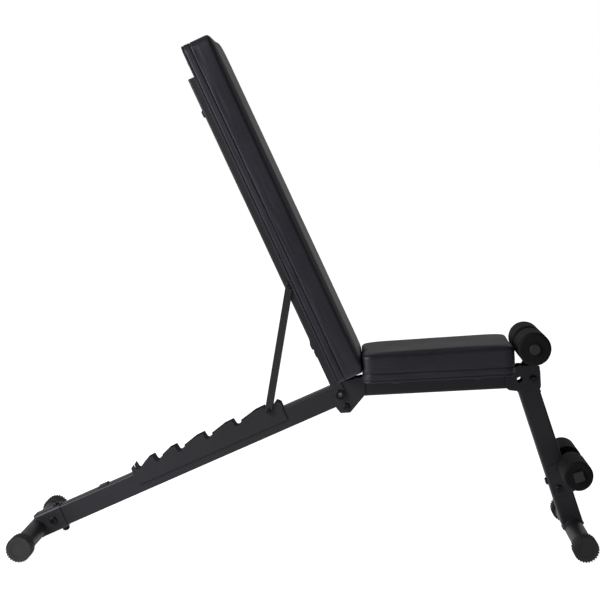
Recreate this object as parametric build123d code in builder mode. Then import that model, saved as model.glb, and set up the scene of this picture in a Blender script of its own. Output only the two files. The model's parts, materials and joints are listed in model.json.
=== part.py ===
"""Adjustable weight bench: a sloping main tube on a rear foot, a raked front leg, a seat on its
own rail, and a backrest that a swinging strut props on a toothed ladder.
Millimetres, +Z up, +X from the rear foot to the front leg, origin on the floor at the centre."""

import os
from math import cos, radians, sin, tan

from build123d import *

os.makedirs("parts", exist_ok=True)

# ---------------------------------------------------------------- feet
foot_x = 644.0
foot_half_width = 236.0
foot_cap_r = 29.5
foot_cap_core_r = 27.2
foot_cap_length = 44.0
foot_cap_wall = 5.0
foot_cap_ribs = 28
foot_rib_width = 3.4
foot_disc_r = 18.0
foot_disc_depth = 1.2
foot_tube_r = 22.5
foot_tube_wall = 2.0
foot_z = foot_cap_r

# ---------------------------------------------------------------- steel sections and plates
frame_section = 50.0
frame_wall = 2.0
frame_corner_r = 5.0
half_frame = frame_section / 2
plate_t = 4.0
plate_gap = 0.05
plate_in = half_frame + plate_gap
weld_gap = 0.1

# ---------------------------------------------------------------- main tube and its sleeve
pivot_x = 85.0
pivot_z = 354.5
tube_angle = 23.75
tube_end_x = 119.0
sleeve_wall = 3.0
sleeve_length = 70.0
sleeve_bolt_back = (44.0, 58.0)
rest_block_at = 613.0
rest_block_size = (24.0, 3.5, 36.0)
rest_block_round = 1.2
stop_bolt_x = 99.0
stop_bolt_z = 325.0
spacer_r = 7.6

# ---------------------------------------------------------------- backrest
back_angle = 65.3
rail_width = 60.0
rail_depth = 25.0
rail_wall = 2.0
rail_from = 95.0
rail_to = 824.0
ear_in = rail_width / 2 + 0.2
ear_t = 4.0
ear_to = 150.0
ear_r = 14.0
back_pad_from = 35.0
back_pad_length = 860.0
pad_width = 280.0
back_pad_t = 72.0
pad_corner_r = 24.0
pad_edge_r = 10.0
board_t = 12.0
board_inset = 10.0
board_gap = 0.2
board_screw_short = 2.5
board_hole_short = 1.5
pad_bolt_at = (130.0, 740.0)

# ---------------------------------------------------------------- ladder and strut
notch_at = (173.0, 255.0, 332.0, 405.5, 464.0, 513.5)
notch_r = 6.3
pin_h = 33.5
tip_h = 44.7
tip_ahead = 8.0
flat_share = 0.3
ladder_low = -4.0
ladder_from = 140.0
ladder_to = 533.0
strut_pin_r = 6.0
strut_pin_half = 40.0
strut_top_at = 288.0
strut_bar_w = 16.0
strut_bar_t = 5.0
strut_in = rail_width / 2 + 0.6
strut_brace_at = 150.0

# ---------------------------------------------------------------- seat
seat_rail_h = 40.0
seat_angle = 2.92
seat_axis_x = 143.0
seat_axis_z = 370.0
seat_rail_end = 416.0
seat_pad_from = -4.0
seat_pad_length = 357.0
seat_pad_t = 71.0
seat_pad_rear_t = 66.0
pads_gap = 1.5
strap_t = 5.0
strap_w = 30.0
strap_length = 200.0
strap_at = (75.0, 268.0)
strap_screw_y = 80.0

# ---------------------------------------------------------------- front leg and rollers
leg_lean = 18.24
leg_top_z = 362.0
front_bolt_at = 400.5
pin_hole_at = 369.0
pin_hole_r = 7.0
bracket_top_z = 422.5
bracket_rear_x = 477.0
bracket_front_x = 562.0
bracket_round = 3.0
post_x = 536.0
post_section = 30.0
upper_roller_z = 474.0
upper_roller_r = 39.5
upper_tube_r = 11.0
upper_tube_wall = 1.5
upper_plug_r = 12.4
upper_plug_round = 1.4
upper_half = 139.0
upper_foam_in = 17.5
upper_foam_out = 137.0
lower_roller_at = 200.0
lower_roller_r = 35.0
lower_bar = 22.0
lower_bar_wall = 1.5
lower_bar_corner_r = 2.5
plug_overhang = 0.5
lower_half = 174.0
lower_foam_in = 33.0
lower_foam_out = 172.0
foam_edge_r = 6.0
holder_t = 3.0
holder_from = 186.0
holder_to = 262.0
holder_rear_bolt_at = 224.0
holder_side_bolt_at = 244.0

# ---------------------------------------------------------------- fasteners and fits
bolt_r = 5.0
hole_r = 5.1
head_r = 9.0
head_h = 5.5
head_round = 3.5
socket_r = 3.4
socket_depth = 3.0
nut_r = 9.2
nut_h = 8.0
bolt_tail = 10.0
running_gap = 0.08
pivot_tube_r = 8.0
pivot_bore_r = 5.2
pivot_flange_r = 12.0
pivot_flange_t = 2.5
pivot_flange_round = 1.2
pivot_flange_in = ear_in + ear_t + 0.4
washer_r = 13.0
washer_t = 0.8
plug_t = 3.0

# ---------------------------------------------------------------- sloping reference planes
tilt_tube = radians(tube_angle)
tilt_back = radians(back_angle)
tilt_seat = radians(seat_angle)
tilt_leg = radians(leg_lean)
pivot = (pivot_x, 0, pivot_z)
down_tube = Vector(-cos(tilt_tube), 0, -sin(tilt_tube))
up_back = Vector(-cos(tilt_back), 0, sin(tilt_back))
along_seat = Vector(cos(tilt_seat), 0, sin(tilt_seat))
down_leg = Vector(sin(tilt_leg), 0, -cos(tilt_leg))
tube_plane = Plane(origin=pivot, x_dir=down_tube, z_dir=(0, 1, 0))
back_plane = Plane(origin=pivot, x_dir=up_back, z_dir=(0, 1, 0))
seat_plane = Plane(origin=(seat_axis_x, 0, seat_axis_z), x_dir=along_seat, z_dir=(0, -1, 0))
leg_axis_x = foot_x - (leg_top_z - foot_z) * tan(tilt_leg)
leg_plane = Plane(origin=(leg_axis_x, 0, leg_top_z), x_dir=down_leg, z_dir=(0, 1, 0))
leg_length = (leg_top_z - foot_z) / cos(tilt_leg)
tube_length = (foot_x + pivot_x) / cos(tilt_tube)
strut_top = back_plane.from_local_coords((strut_top_at, 0, 0))
strut_foot = tube_plane.from_local_coords((notch_at[0], pin_h, 0))
strut_run = strut_foot - strut_top
strut_length = strut_run.length
strut_plane = Plane(origin=strut_top, x_dir=strut_run.normalized(), z_dir=(0, 1, 0))
low = (Align.CENTER, Align.CENTER, Align.MIN)
high = (Align.CENTER, Align.CENTER, Align.MAX)


def square_to(frame, along, up=0.0, z_dir=None):
    """Plane through a point of a sloping frame, facing along it unless told otherwise."""
    return Plane(
        origin=frame.from_local_coords((along, up, 0)),
        x_dir=(0, 1, 0),
        z_dir=z_dir or frame.x_dir,
    )


def side_plane(frame, along, up, y):
    """Plane on the outside of a plate at height y across the bench, facing outwards."""
    centre = frame.from_local_coords((along, up, 0))
    return Plane(origin=(centre.X, y, centre.Z), x_dir=(1, 0, 0), z_dir=(0, 1 if y > 0 else -1, 0))


def make_bolt(seat, length):
    """Button head bolt with a hexagon socket: the head stands on the seat plane."""
    with BuildPart(seat) as made:
        Cylinder(head_r, head_h, align=low)
        top = made.faces().sort_by(Axis(seat.origin, seat.z_dir))[-1]
        fillet(top.edges(), head_round)
        Cylinder(bolt_r, length, align=high)
        with BuildSketch(seat.offset(head_h)):
            RegularPolygon(socket_r, 6)
        extrude(amount=-socket_depth, mode=Mode.SUBTRACT)
    return made.part


def make_nut(seat):
    """Hexagon nut that stands on the seat plane."""
    with BuildPart(seat) as made:
        with BuildSketch(seat):
            RegularPolygon(nut_r, 6)
            Circle(bolt_r + running_gap, mode=Mode.SUBTRACT)
        extrude(amount=nut_h)
        top = made.faces().sort_by(Axis(seat.origin, seat.z_dir))[-1]
        chamfer(top.outer_wire().edges(), 1.0)
    return made.part


# ================================================================ main frame
# Main tube: square section that rises from the rear foot past the pivot and is cut upright
# where it meets the seat rail.
with BuildPart() as main_tube:
    with BuildSketch(square_to(tube_plane, -60.0)):
        RectangleRounded(frame_section, frame_section, frame_corner_r)
        RectangleRounded(
            frame_section - 2 * frame_wall,
            frame_section - 2 * frame_wall,
            frame_corner_r - frame_wall,
            mode=Mode.SUBTRACT,
        )
    extrude(amount=60.0 + tube_length - foot_tube_r - 5.0)
    with Locations((tube_end_x, 0, pivot_z)):
        Box(200, 100, 300, align=(Align.MIN, Align.CENTER, Align.CENTER), mode=Mode.SUBTRACT)
    with Locations((pivot_x, 0, pivot_z)):
        Cylinder(
            pivot_tube_r + plate_gap, 60, rotation=(90, 0, 0), mode=Mode.SUBTRACT
        )
    with Locations(side_plane(tube_plane, tube_length - sleeve_bolt_back[0], 0, 1)):
        Cylinder(hole_r, 80, mode=Mode.SUBTRACT)
    with Locations(square_to(tube_plane, tube_length - sleeve_bolt_back[1], 0, tube_plane.y_dir)):
        Cylinder(hole_r, 80, mode=Mode.SUBTRACT)
main_tube.part.label = "main_tube"
export_step(main_tube.part, "parts/main_tube.step")

# Rear sleeve: folded steel socket over the tube's end, with a fish mouth on the round foot tube.
with BuildPart() as rear_sleeve:
    with BuildSketch(square_to(tube_plane, tube_length - sleeve_length)):
        RectangleRounded(
            frame_section + 2 * (weld_gap + sleeve_wall),
            frame_section + 2 * (weld_gap + sleeve_wall),
            frame_corner_r + sleeve_wall,
        )
        RectangleRounded(
            frame_section + 2 * weld_gap,
            frame_section + 2 * weld_gap,
            frame_corner_r,
            mode=Mode.SUBTRACT,
        )
    extrude(amount=sleeve_length - 3.0)
    with Locations((-foot_x, 0, foot_z)):
        Cylinder(foot_tube_r + plate_gap, 80, rotation=(90, 0, 0), mode=Mode.SUBTRACT)
    with Locations(side_plane(tube_plane, tube_length - sleeve_bolt_back[0], 0, 1)):
        Cylinder(hole_r, 80, mode=Mode.SUBTRACT)
    with Locations(square_to(tube_plane, tube_length - sleeve_bolt_back[1], 0, tube_plane.y_dir)):
        Cylinder(hole_r, 80, mode=Mode.SUBTRACT)
rear_sleeve.part.label = "rear_sleeve"
export_step(rear_sleeve.part, "parts/rear_sleeve.step")

# Foot tubes: one round tube across the rear and one across the front.
with BuildPart() as rear_foot_tube:
    with Locations((-foot_x, 0, foot_z)):
        Cylinder(foot_tube_r, 2 * (foot_half_width - foot_cap_wall) - 1.0, rotation=(90, 0, 0))
        Cylinder(
            foot_tube_r - foot_tube_wall,
            2 * foot_half_width,
            rotation=(90, 0, 0),
            mode=Mode.SUBTRACT,
        )
rear_foot_tube.part.label = "rear_foot_tube"
export_step(rear_foot_tube.part, "parts/rear_foot_tube.step")

with BuildPart() as front_foot_tube:
    mirror(rear_foot_tube.part, about=Plane.YZ)
front_foot_tube.part.label = "front_foot_tube"
export_step(front_foot_tube.part, "parts/front_foot_tube.step")

# Foot caps: ribbed rubber cups pushed over the ends of the foot tubes.
with BuildPart() as rear_foot_cap_right:
    with BuildSketch(Plane.XZ.offset(foot_half_width - foot_cap_length)):
        with Locations((-foot_x, foot_z)):
            Circle(foot_cap_core_r)
            with PolarLocations((foot_cap_core_r + foot_cap_r) / 2 - 1.0, foot_cap_ribs):
                Rectangle(foot_cap_r - foot_cap_core_r + 2.0, foot_rib_width)
    extrude(amount=foot_cap_length)
    with BuildSketch(Plane.XZ.offset(foot_half_width - foot_cap_length)):
        with Locations((-foot_x, foot_z)):
            Circle(foot_tube_r + plate_gap)
    extrude(amount=foot_cap_length - foot_cap_wall, mode=Mode.SUBTRACT)
    with BuildSketch(Plane.XZ.offset(foot_half_width)):
        with Locations((-foot_x, foot_z)):
            Circle(foot_disc_r)
    extrude(amount=-foot_disc_depth, mode=Mode.SUBTRACT)
rear_foot_cap_right.part.label = "rear_foot_cap_right"
export_step(rear_foot_cap_right.part, "parts/rear_foot_cap_right.step")

with BuildPart() as rear_foot_cap_left:
    mirror(rear_foot_cap_right.part, about=Plane.XZ)
rear_foot_cap_left.part.label = "rear_foot_cap_left"
export_step(rear_foot_cap_left.part, "parts/rear_foot_cap_left.step")

with BuildPart() as front_foot_cap_right:
    mirror(rear_foot_cap_right.part, about=Plane.YZ)
front_foot_cap_right.part.label = "front_foot_cap_right"
export_step(front_foot_cap_right.part, "parts/front_foot_cap_right.step")

with BuildPart() as front_foot_cap_left:
    mirror(front_foot_cap_right.part, about=Plane.XZ)
front_foot_cap_left.part.label = "front_foot_cap_left"
export_step(front_foot_cap_left.part, "parts/front_foot_cap_left.step")

# Ladder plates: toothed steel plates on both sides of the main tube. Each notch has a steep
# wall towards the rear foot and a gentle flank towards the seat.
ladder_points = [(ladder_from, ladder_low), (ladder_from, tip_h - 8.0), (ladder_from + 8.0, tip_h)]
for number, notch in enumerate(notch_at):
    ladder_points.append((notch - notch_r, pin_h))
    ladder_points.append((notch + notch_r, pin_h))
    ladder_points.append((notch + tip_ahead, tip_h))
    if number + 1 < len(notch_at):
        tooth = notch_at[number + 1] - notch
        ladder_points.append((notch + tip_ahead + flat_share * tooth, tip_h - 1.0))
ladder_points.append((ladder_to - 3.0, tip_h - 6.0))
ladder_points.append((ladder_to, ladder_low))
with BuildPart() as ladder_plate_right:
    with BuildSketch(tube_plane.offset(-plate_in)) as ladder_outline:
        with BuildLine():
            Polyline(*ladder_points, close=True)
        make_face()
        with Locations(*[(notch, pin_h) for notch in notch_at]):
            Circle(notch_r, mode=Mode.SUBTRACT)
        fillet(ladder_outline.vertices().group_by(Axis.X)[-1], 8.0)
    extrude(amount=-plate_t)
ladder_plate_right.part.label = "ladder_plate_right"
export_step(ladder_plate_right.part, "parts/ladder_plate_right.step")

with BuildPart() as ladder_plate_left:
    mirror(ladder_plate_right.part, about=Plane.XZ)
ladder_plate_left.part.label = "ladder_plate_left"
export_step(ladder_plate_left.part, "parts/ladder_plate_left.step")

# Rest block: low rubber pad on the tube's top behind the ladder.
with BuildPart() as rest_block:
    with BuildSketch(square_to(tube_plane, rest_block_at, half_frame, tube_plane.y_dir)):
        Rectangle(rest_block_size[2], rest_block_size[0])
    extrude(amount=rest_block_size[1])
    top = rest_block.faces().sort_by(Axis((0, 0, 0), tube_plane.y_dir))[-1]
    fillet(top.edges(), rest_block_round)
rest_block.part.label = "rest_block"
export_step(rest_block.part, "parts/rest_block.step")

# Centre plates: they join the main tube to the seat rail and carry the backrest pivot.
with BuildPart() as centre_plate_right:
    with BuildSketch(Plane.XZ.offset(plate_in)) as centre_outline:
        with BuildLine():
            Polyline(
                (70, 373),
                (91, 384),
                (133, 395),
                (143, 395),
                (143, 352),
                (109, 311),
                (86, 309.5),
                (75.5, 321.5),
                (69, 340),
                close=True,
            )
        make_face()
        fillet(centre_outline.vertices(), 3.0)
        with Locations((pivot_x, pivot_z)):
            Circle(pivot_tube_r + plate_gap, mode=Mode.SUBTRACT)
        with Locations((stop_bolt_x, stop_bolt_z)):
            Circle(hole_r, mode=Mode.SUBTRACT)
    extrude(amount=plate_t)
centre_plate_right.part.label = "centre_plate_right"
export_step(centre_plate_right.part, "parts/centre_plate_right.step")

with BuildPart() as centre_plate_left:
    mirror(centre_plate_right.part, about=Plane.XZ)
centre_plate_left.part.label = "centre_plate_left"
export_step(centre_plate_left.part, "parts/centre_plate_left.step")

# Stop bolt: it draws the centre plates together under the tube, over a spacer tube.
plate_out = plate_in + plate_t
with BuildPart() as stop_bolt:
    stop_seat = Plane((stop_bolt_x, -plate_out, stop_bolt_z), (1, 0, 0), (0, -1, 0))
    add(make_bolt(stop_seat, 2 * plate_out + bolt_tail))
stop_bolt.part.label = "stop_bolt"
export_step(stop_bolt.part, "parts/stop_bolt.step")

with BuildPart() as stop_bolt_nut:
    add(make_nut(Plane((stop_bolt_x, plate_out, stop_bolt_z), (1, 0, 0), (0, 1, 0))))
stop_bolt_nut.part.label = "stop_bolt_nut"
export_step(stop_bolt_nut.part, "parts/stop_bolt_nut.step")

with BuildPart() as stop_bolt_spacer:
    with Locations((stop_bolt_x, 0, stop_bolt_z)):
        Cylinder(spacer_r, 2 * plate_in - weld_gap, rotation=(90, 0, 0))
        Cylinder(hole_r, 80, rotation=(90, 0, 0), mode=Mode.SUBTRACT)
stop_bolt_spacer.part.label = "stop_bolt_spacer"
export_step(stop_bolt_spacer.part, "parts/stop_bolt_spacer.step")

# Pivot tube: a hollow rivet through the plates and the main tube, flared at both ends.
with BuildPart() as pivot_tube:
    with Locations((pivot_x, 0, pivot_z)):
        Cylinder(pivot_tube_r, 2 * pivot_flange_in, rotation=(90, 0, 0))
    with Locations((pivot_x, -pivot_flange_in, pivot_z), (pivot_x, pivot_flange_in, pivot_z)):
        Cylinder(pivot_flange_r, 2 * pivot_flange_t, rotation=(90, 0, 0))
    with Locations((pivot_x, 0, pivot_z)):
        Cylinder(pivot_tube_r, 2 * pivot_flange_in - 0.01, rotation=(90, 0, 0))
    with BuildSketch(Plane.XZ):
        with Locations((pivot_x, pivot_z)):
            Circle(pivot_flange_r + 1.0)
            Circle(pivot_tube_r, mode=Mode.SUBTRACT)
    extrude(amount=pivot_flange_in, both=True, mode=Mode.SUBTRACT)
    with Locations((pivot_x, 0, pivot_z)):
        Cylinder(pivot_bore_r, 100, rotation=(90, 0, 0), mode=Mode.SUBTRACT)
    rims = pivot_tube.edges().filter_by(GeomType.CIRCLE).group_by(Axis.Y)
    for end_rims in (rims[0], rims[-1]):
        fillet(end_rims.sort_by(SortBy.RADIUS)[-1], pivot_flange_round)
pivot_tube.part.label = "pivot_tube"
export_step(pivot_tube.part, "parts/pivot_tube.step")

# Pivot washers: thin rings between the centre plates and the backrest ears.
with BuildPart() as pivot_washers:
    with Locations(
        (pivot_x, -(plate_out + 0.1 + washer_t / 2), pivot_z),
        (pivot_x, plate_out + 0.1 + washer_t / 2, pivot_z),
    ):
        Cylinder(washer_r, washer_t, rotation=(90, 0, 0))
    with Locations((pivot_x, 0, pivot_z)):
        Cylinder(pivot_tube_r + plate_gap, 100, rotation=(90, 0, 0), mode=Mode.SUBTRACT)
pivot_washers.part.label = "pivot_washers"
export_step(pivot_washers.part, "parts/pivot_washers.step")

# Sleeve bolts: one across the rear sleeve and one down through it, each with its nut.
sleeve_half = half_frame + weld_gap + sleeve_wall
cross_seat = side_plane(tube_plane, tube_length - sleeve_bolt_back[0], 0, -sleeve_half)
cross_nut = side_plane(tube_plane, tube_length - sleeve_bolt_back[0], 0, sleeve_half)
down_seat = square_to(tube_plane, tube_length - sleeve_bolt_back[1], sleeve_half, tube_plane.y_dir)
down_nut = square_to(tube_plane, tube_length - sleeve_bolt_back[1], -sleeve_half, -tube_plane.y_dir)
with BuildPart() as sleeve_bolts:
    add(make_bolt(cross_seat, 2 * sleeve_half + bolt_tail))
    add(make_bolt(down_seat, 2 * sleeve_half + bolt_tail))
sleeve_bolts.part.label = "sleeve_bolts"
export_step(sleeve_bolts.part, "parts/sleeve_bolts.step")

with BuildPart() as sleeve_nuts:
    add(make_nut(cross_nut))
    add(make_nut(down_nut))
sleeve_nuts.part.label = "sleeve_nuts"
export_step(sleeve_nuts.part, "parts/sleeve_nuts.step")

# ================================================================ seat
# Seat rail: rectangular section from the main tube's end to the front bracket.
with BuildPart() as seat_rail:
    with BuildSketch(Plane(seat_plane.from_local_coords((-40, 0, 0)), (0, 1, 0), along_seat)):
        RectangleRounded(frame_section, seat_rail_h, frame_corner_r)
        RectangleRounded(
            frame_section - 2 * frame_wall,
            seat_rail_h - 2 * frame_wall,
            frame_corner_r - frame_wall,
            mode=Mode.SUBTRACT,
        )
    extrude(amount=40 + seat_rail_end)
    with Locations((tube_end_x + weld_gap, 0, pivot_z)):
        Box(200, 100, 300, align=(Align.MAX, Align.CENTER, Align.CENTER), mode=Mode.SUBTRACT)
    with BuildSketch(seat_plane):
        with Locations((front_bolt_at, 0)):
            Circle(hole_r)
        with Locations((pin_hole_at, 0)):
            Circle(pin_hole_r)
    extrude(amount=80, both=True, mode=Mode.SUBTRACT)
seat_rail.part.label = "seat_rail"
export_step(seat_rail.part, "parts/seat_rail.step")

# Seat straps: two flat bars across the rail that hold the seat board.
strap_screws = [(x, y) for x in strap_at for y in (-strap_screw_y, strap_screw_y)]
with BuildPart() as seat_straps:
    with Locations(seat_plane.location):
        with Locations(*[(x, seat_rail_h / 2 + strap_t / 2, 0) for x in strap_at]):
            Box(strap_w, strap_t, strap_length)
        with Locations(*[(x, seat_rail_h / 2, y) for x, y in strap_screws]):
            Cylinder(hole_r, 30, rotation=(90, 0, 0), mode=Mode.SUBTRACT)
seat_straps.part.label = "seat_straps"
export_step(seat_straps.part, "parts/seat_straps.step")

# Seat board: plywood under the cushion.
seat_pad_low = seat_rail_h / 2 + strap_t
seat_pad_middle = seat_pad_from + seat_pad_length / 2
seat_pad_seat = Plane(
    seat_plane.from_local_coords((seat_pad_middle, seat_pad_low, 0)), along_seat, seat_plane.y_dir
)
board_corner_r = pad_corner_r - board_inset
with BuildPart() as seat_board:
    with BuildSketch(seat_pad_seat):
        RectangleRounded(seat_pad_length - 2 * board_inset, pad_width - 2 * board_inset, board_corner_r)
    extrude(amount=board_t)
    with Locations(seat_plane.location):
        with Locations(*[(x, seat_pad_low, y) for x, y in strap_screws]):
            Cylinder(
                hole_r, 2 * (board_t - board_hole_short), rotation=(90, 0, 0), mode=Mode.SUBTRACT
            )
seat_board.part.label = "seat_board"
export_step(seat_board.part, "parts/seat_board.step")

# Seat pad: foam cushion with rounded corners, thicker towards the rollers, closed over the board.
seat_pad_end = seat_pad_from + seat_pad_length
top_rear = seat_plane.from_local_coords((seat_pad_from, seat_pad_low + seat_pad_rear_t, 0))
top_front = seat_plane.from_local_coords((seat_pad_end, seat_pad_low + seat_pad_t, 0))
along_top = (top_front - top_rear).normalized()
seat_pad_top = Plane(top_rear, along_top, Vector(0, -1, 0).cross(along_top))
with BuildPart() as seat_pad:
    with BuildSketch(seat_pad_seat):
        RectangleRounded(seat_pad_length, pad_width, pad_corner_r)
    extrude(amount=seat_pad_t)
    split(bisect_by=seat_pad_top, keep=Keep.BOTTOM)
    fillet(seat_pad.faces().sort_by(Axis((0, 0, 0), seat_plane.y_dir))[-1].edges(), pad_edge_r)
    with BuildSketch(seat_pad_seat):
        RectangleRounded(
            seat_pad_length - 2 * (board_inset - board_gap),
            pad_width - 2 * (board_inset - board_gap),
            board_corner_r + board_gap,
        )
    extrude(amount=board_t + board_gap, mode=Mode.SUBTRACT)
seat_pad.part.label = "seat_pad"
export_step(seat_pad.part, "parts/seat_pad.step")

# Seat screws: four button heads up through the straps into the board.
with BuildPart() as seat_screws:
    for strap, across in strap_screws:
        screw_foot = seat_plane.from_local_coords((strap, seat_rail_h / 2, across))
        screw_seat = Plane(screw_foot, (0, 1, 0), -seat_plane.y_dir)
        add(make_bolt(screw_seat, strap_t + board_t - board_screw_short))
seat_screws.part.label = "seat_screws"
export_step(seat_screws.part, "parts/seat_screws.step")

# Seat rail plug: plastic insert that closes the rail's front end.
with BuildPart() as seat_rail_plug:
    with BuildSketch(Plane(seat_plane.from_local_coords((seat_rail_end, 0, 0)), (0, 1, 0), along_seat)):
        RectangleRounded(frame_section, seat_rail_h, frame_corner_r)
    extrude(amount=plug_t)
seat_rail_plug.part.label = "seat_rail_plug"
export_step(seat_rail_plug.part, "parts/seat_rail_plug.step")

# ================================================================ front leg
# Front bracket: U of plate round the rail's front end, with its floor on top of the leg.
bracket_half = plate_in + plate_t
with BuildPart() as front_bracket:
    with BuildSketch(Plane.XZ) as bracket_outline:
        with BuildLine():
            Polyline(
                (bracket_rear_x, 371),
                (486, 364),
                (503, leg_top_z),
                (557, leg_top_z),
                (bracket_front_x, 373),
                (558.5, bracket_top_z),
                (508, bracket_top_z),
                (489, 406),
                (bracket_rear_x, 392),
                close=True,
            )
        make_face()
        fillet(bracket_outline.vertices(), bracket_round)
    extrude(amount=bracket_half, both=True)
    with BuildSketch(seat_plane):
        with Locations((seat_rail_end - 60, 60 - seat_rail_h / 2 - weld_gap)):
            Rectangle(200, 120)
    extrude(amount=plate_in, both=True, mode=Mode.SUBTRACT)
    with BuildSketch(seat_plane):
        with Locations((front_bolt_at, 0)):
            Circle(hole_r)
        with Locations((pin_hole_at, 0)):
            Circle(pin_hole_r)
    extrude(amount=80, both=True, mode=Mode.SUBTRACT)
front_bracket.part.label = "front_bracket"
export_step(front_bracket.part, "parts/front_bracket.step")

with BuildPart() as front_bolt:
    add(make_bolt(side_plane(seat_plane, front_bolt_at, 0, -bracket_half), 2 * bracket_half + bolt_tail))
front_bolt.part.label = "front_bolt"
export_step(front_bolt.part, "parts/front_bolt.step")

with BuildPart() as front_bolt_nut:
    add(make_nut(side_plane(seat_plane, front_bolt_at, 0, bracket_half)))
front_bolt_nut.part.label = "front_bolt_nut"
export_step(front_bolt_nut.part, "parts/front_bolt_nut.step")

# Front leg: square section raked forwards, with a saddle cut on the front foot tube.
with BuildPart() as front_leg:
    with BuildSketch(square_to(leg_plane, -30)):
        RectangleRounded(frame_section, frame_section, frame_corner_r)
        RectangleRounded(
            frame_section - 2 * frame_wall,
            frame_section - 2 * frame_wall,
            frame_corner_r - frame_wall,
            mode=Mode.SUBTRACT,
        )
    extrude(amount=30 + leg_length - 4.0)
    with Locations((leg_axis_x, 0, leg_top_z)):
        Box(200, 100, 100, align=low, mode=Mode.SUBTRACT)
    with Locations((foot_x, 0, foot_z)):
        Cylinder(foot_tube_r + plate_gap, 80, rotation=(90, 0, 0), mode=Mode.SUBTRACT)
    with BuildSketch(leg_plane):
        with Locations((holder_side_bolt_at, 6)):
            Circle(hole_r)
    extrude(amount=80, both=True, mode=Mode.SUBTRACT)
    with Locations(square_to(leg_plane, holder_rear_bolt_at, 0, leg_plane.y_dir)):
        Cylinder(hole_r, 80, mode=Mode.SUBTRACT)
front_leg.part.label = "front_leg"
export_step(front_leg.part, "parts/front_leg.step")

# Roller holder: folded clip on the front of the leg that carries the lower roller bar.
holder_in = half_frame + weld_gap
with BuildPart() as roller_holder:
    with BuildSketch(leg_plane) as holder_outline:
        with Locations(((holder_from + holder_to) / 2, (16 - holder_in - holder_t) / 2)):
            Rectangle(holder_to - holder_from, 16 + holder_in + holder_t)
        fillet(holder_outline.vertices().group_by(Axis((0, 0, 0), leg_plane.y_dir))[-1], 8.0)
    extrude(amount=holder_in + holder_t, both=True)
    with BuildSketch(leg_plane):
        with Locations(((holder_from + holder_to) / 2, 50 - holder_in)):
            Rectangle(200, 100)
    extrude(amount=holder_in, both=True, mode=Mode.SUBTRACT)
    with BuildSketch(leg_plane):
        with Locations((holder_side_bolt_at, 6)):
            Circle(hole_r)
    extrude(amount=80, both=True, mode=Mode.SUBTRACT)
    with Locations(square_to(leg_plane, holder_rear_bolt_at, 0, leg_plane.y_dir)):
        Cylinder(hole_r, 80, mode=Mode.SUBTRACT)
roller_holder.part.label = "roller_holder"
export_step(roller_holder.part, "parts/roller_holder.step")

holder_out = holder_in + holder_t
holder_side = side_plane(leg_plane, holder_side_bolt_at, 6, -holder_out)
holder_far = side_plane(leg_plane, holder_side_bolt_at, 6, holder_out)
holder_rear = square_to(leg_plane, holder_rear_bolt_at, half_frame, leg_plane.y_dir)
holder_front = square_to(leg_plane, holder_rear_bolt_at, -holder_out, -leg_plane.y_dir)
with BuildPart() as holder_bolts:
    add(make_bolt(holder_side, 2 * holder_out + bolt_tail))
    add(make_bolt(holder_rear, half_frame + holder_out + bolt_tail))
holder_bolts.part.label = "holder_bolts"
export_step(holder_bolts.part, "parts/holder_bolts.step")

with BuildPart() as holder_nuts:
    add(make_nut(holder_far))
    add(make_nut(holder_front))
holder_nuts.part.label = "holder_nuts"
export_step(holder_nuts.part, "parts/holder_nuts.step")

# Lower roller bar: square tube welded across the front of the holder.
lower_up = -(holder_out + lower_bar / 2)
lower_frame = Plane(leg_plane.from_local_coords((lower_roller_at, lower_up, 0)), down_leg, (0, -1, 0))
with BuildPart() as lower_roller_bar:
    with BuildSketch(lower_frame):
        RectangleRounded(lower_bar, lower_bar, lower_bar_corner_r)
        RectangleRounded(
            lower_bar - 2 * lower_bar_wall,
            lower_bar - 2 * lower_bar_wall,
            lower_bar_corner_r - lower_bar_wall,
            mode=Mode.SUBTRACT,
        )
    extrude(amount=lower_half, both=True)
lower_roller_bar.part.label = "lower_roller_bar"
export_step(lower_roller_bar.part, "parts/lower_roller_bar.step")

with BuildPart() as lower_bar_plugs:
    with BuildSketch(lower_frame.offset(lower_half), lower_frame.offset(-lower_half - plug_t - 1.0)):
        RectangleRounded(
            lower_bar + 2 * plug_overhang,
            lower_bar + 2 * plug_overhang,
            lower_bar_corner_r + plug_overhang,
        )
    extrude(amount=plug_t + 1.0)
lower_bar_plugs.part.label = "lower_bar_plugs"
export_step(lower_bar_plugs.part, "parts/lower_bar_plugs.step")

# Lower foam rollers: pushed on the square bar, so they stay where they are.
with BuildPart() as lower_foam_right:
    with BuildSketch(lower_frame.offset(lower_foam_in)):
        Circle(lower_roller_r)
    extrude(amount=lower_foam_out - lower_foam_in)
    fillet(lower_foam_right.edges().filter_by(GeomType.CIRCLE), foam_edge_r)
    with BuildSketch(lower_frame):
        RectangleRounded(lower_bar + weld_gap, lower_bar + weld_gap, lower_bar_corner_r)
    extrude(amount=lower_half, mode=Mode.SUBTRACT)
lower_foam_right.part.label = "lower_foam_right"
export_step(lower_foam_right.part, "parts/lower_foam_right.step")

with BuildPart() as lower_foam_left:
    mirror(lower_foam_right.part, about=Plane.XZ)
lower_foam_left.part.label = "lower_foam_left"
export_step(lower_foam_left.part, "parts/lower_foam_left.step")

# Roller post: short upright on the seat rail between the bracket's cheeks, saddled to the tube.
with BuildPart() as roller_post:
    with BuildSketch(Plane.XY.offset(pivot_z)):
        with Locations((post_x, 0)):
            RectangleRounded(post_section, post_section, 4.0)
    extrude(amount=upper_roller_z - pivot_z)
    with BuildSketch(seat_plane):
        with Locations((seat_rail_end - 60, seat_rail_h / 2 + weld_gap - 60)):
            Rectangle(200, 120)
    extrude(amount=80, both=True, mode=Mode.SUBTRACT)
    with Locations((post_x, 0, upper_roller_z)):
        Cylinder(upper_tube_r + plate_gap, 80, rotation=(90, 0, 0), mode=Mode.SUBTRACT)
roller_post.part.label = "roller_post"
export_step(roller_post.part, "parts/roller_post.step")

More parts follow.
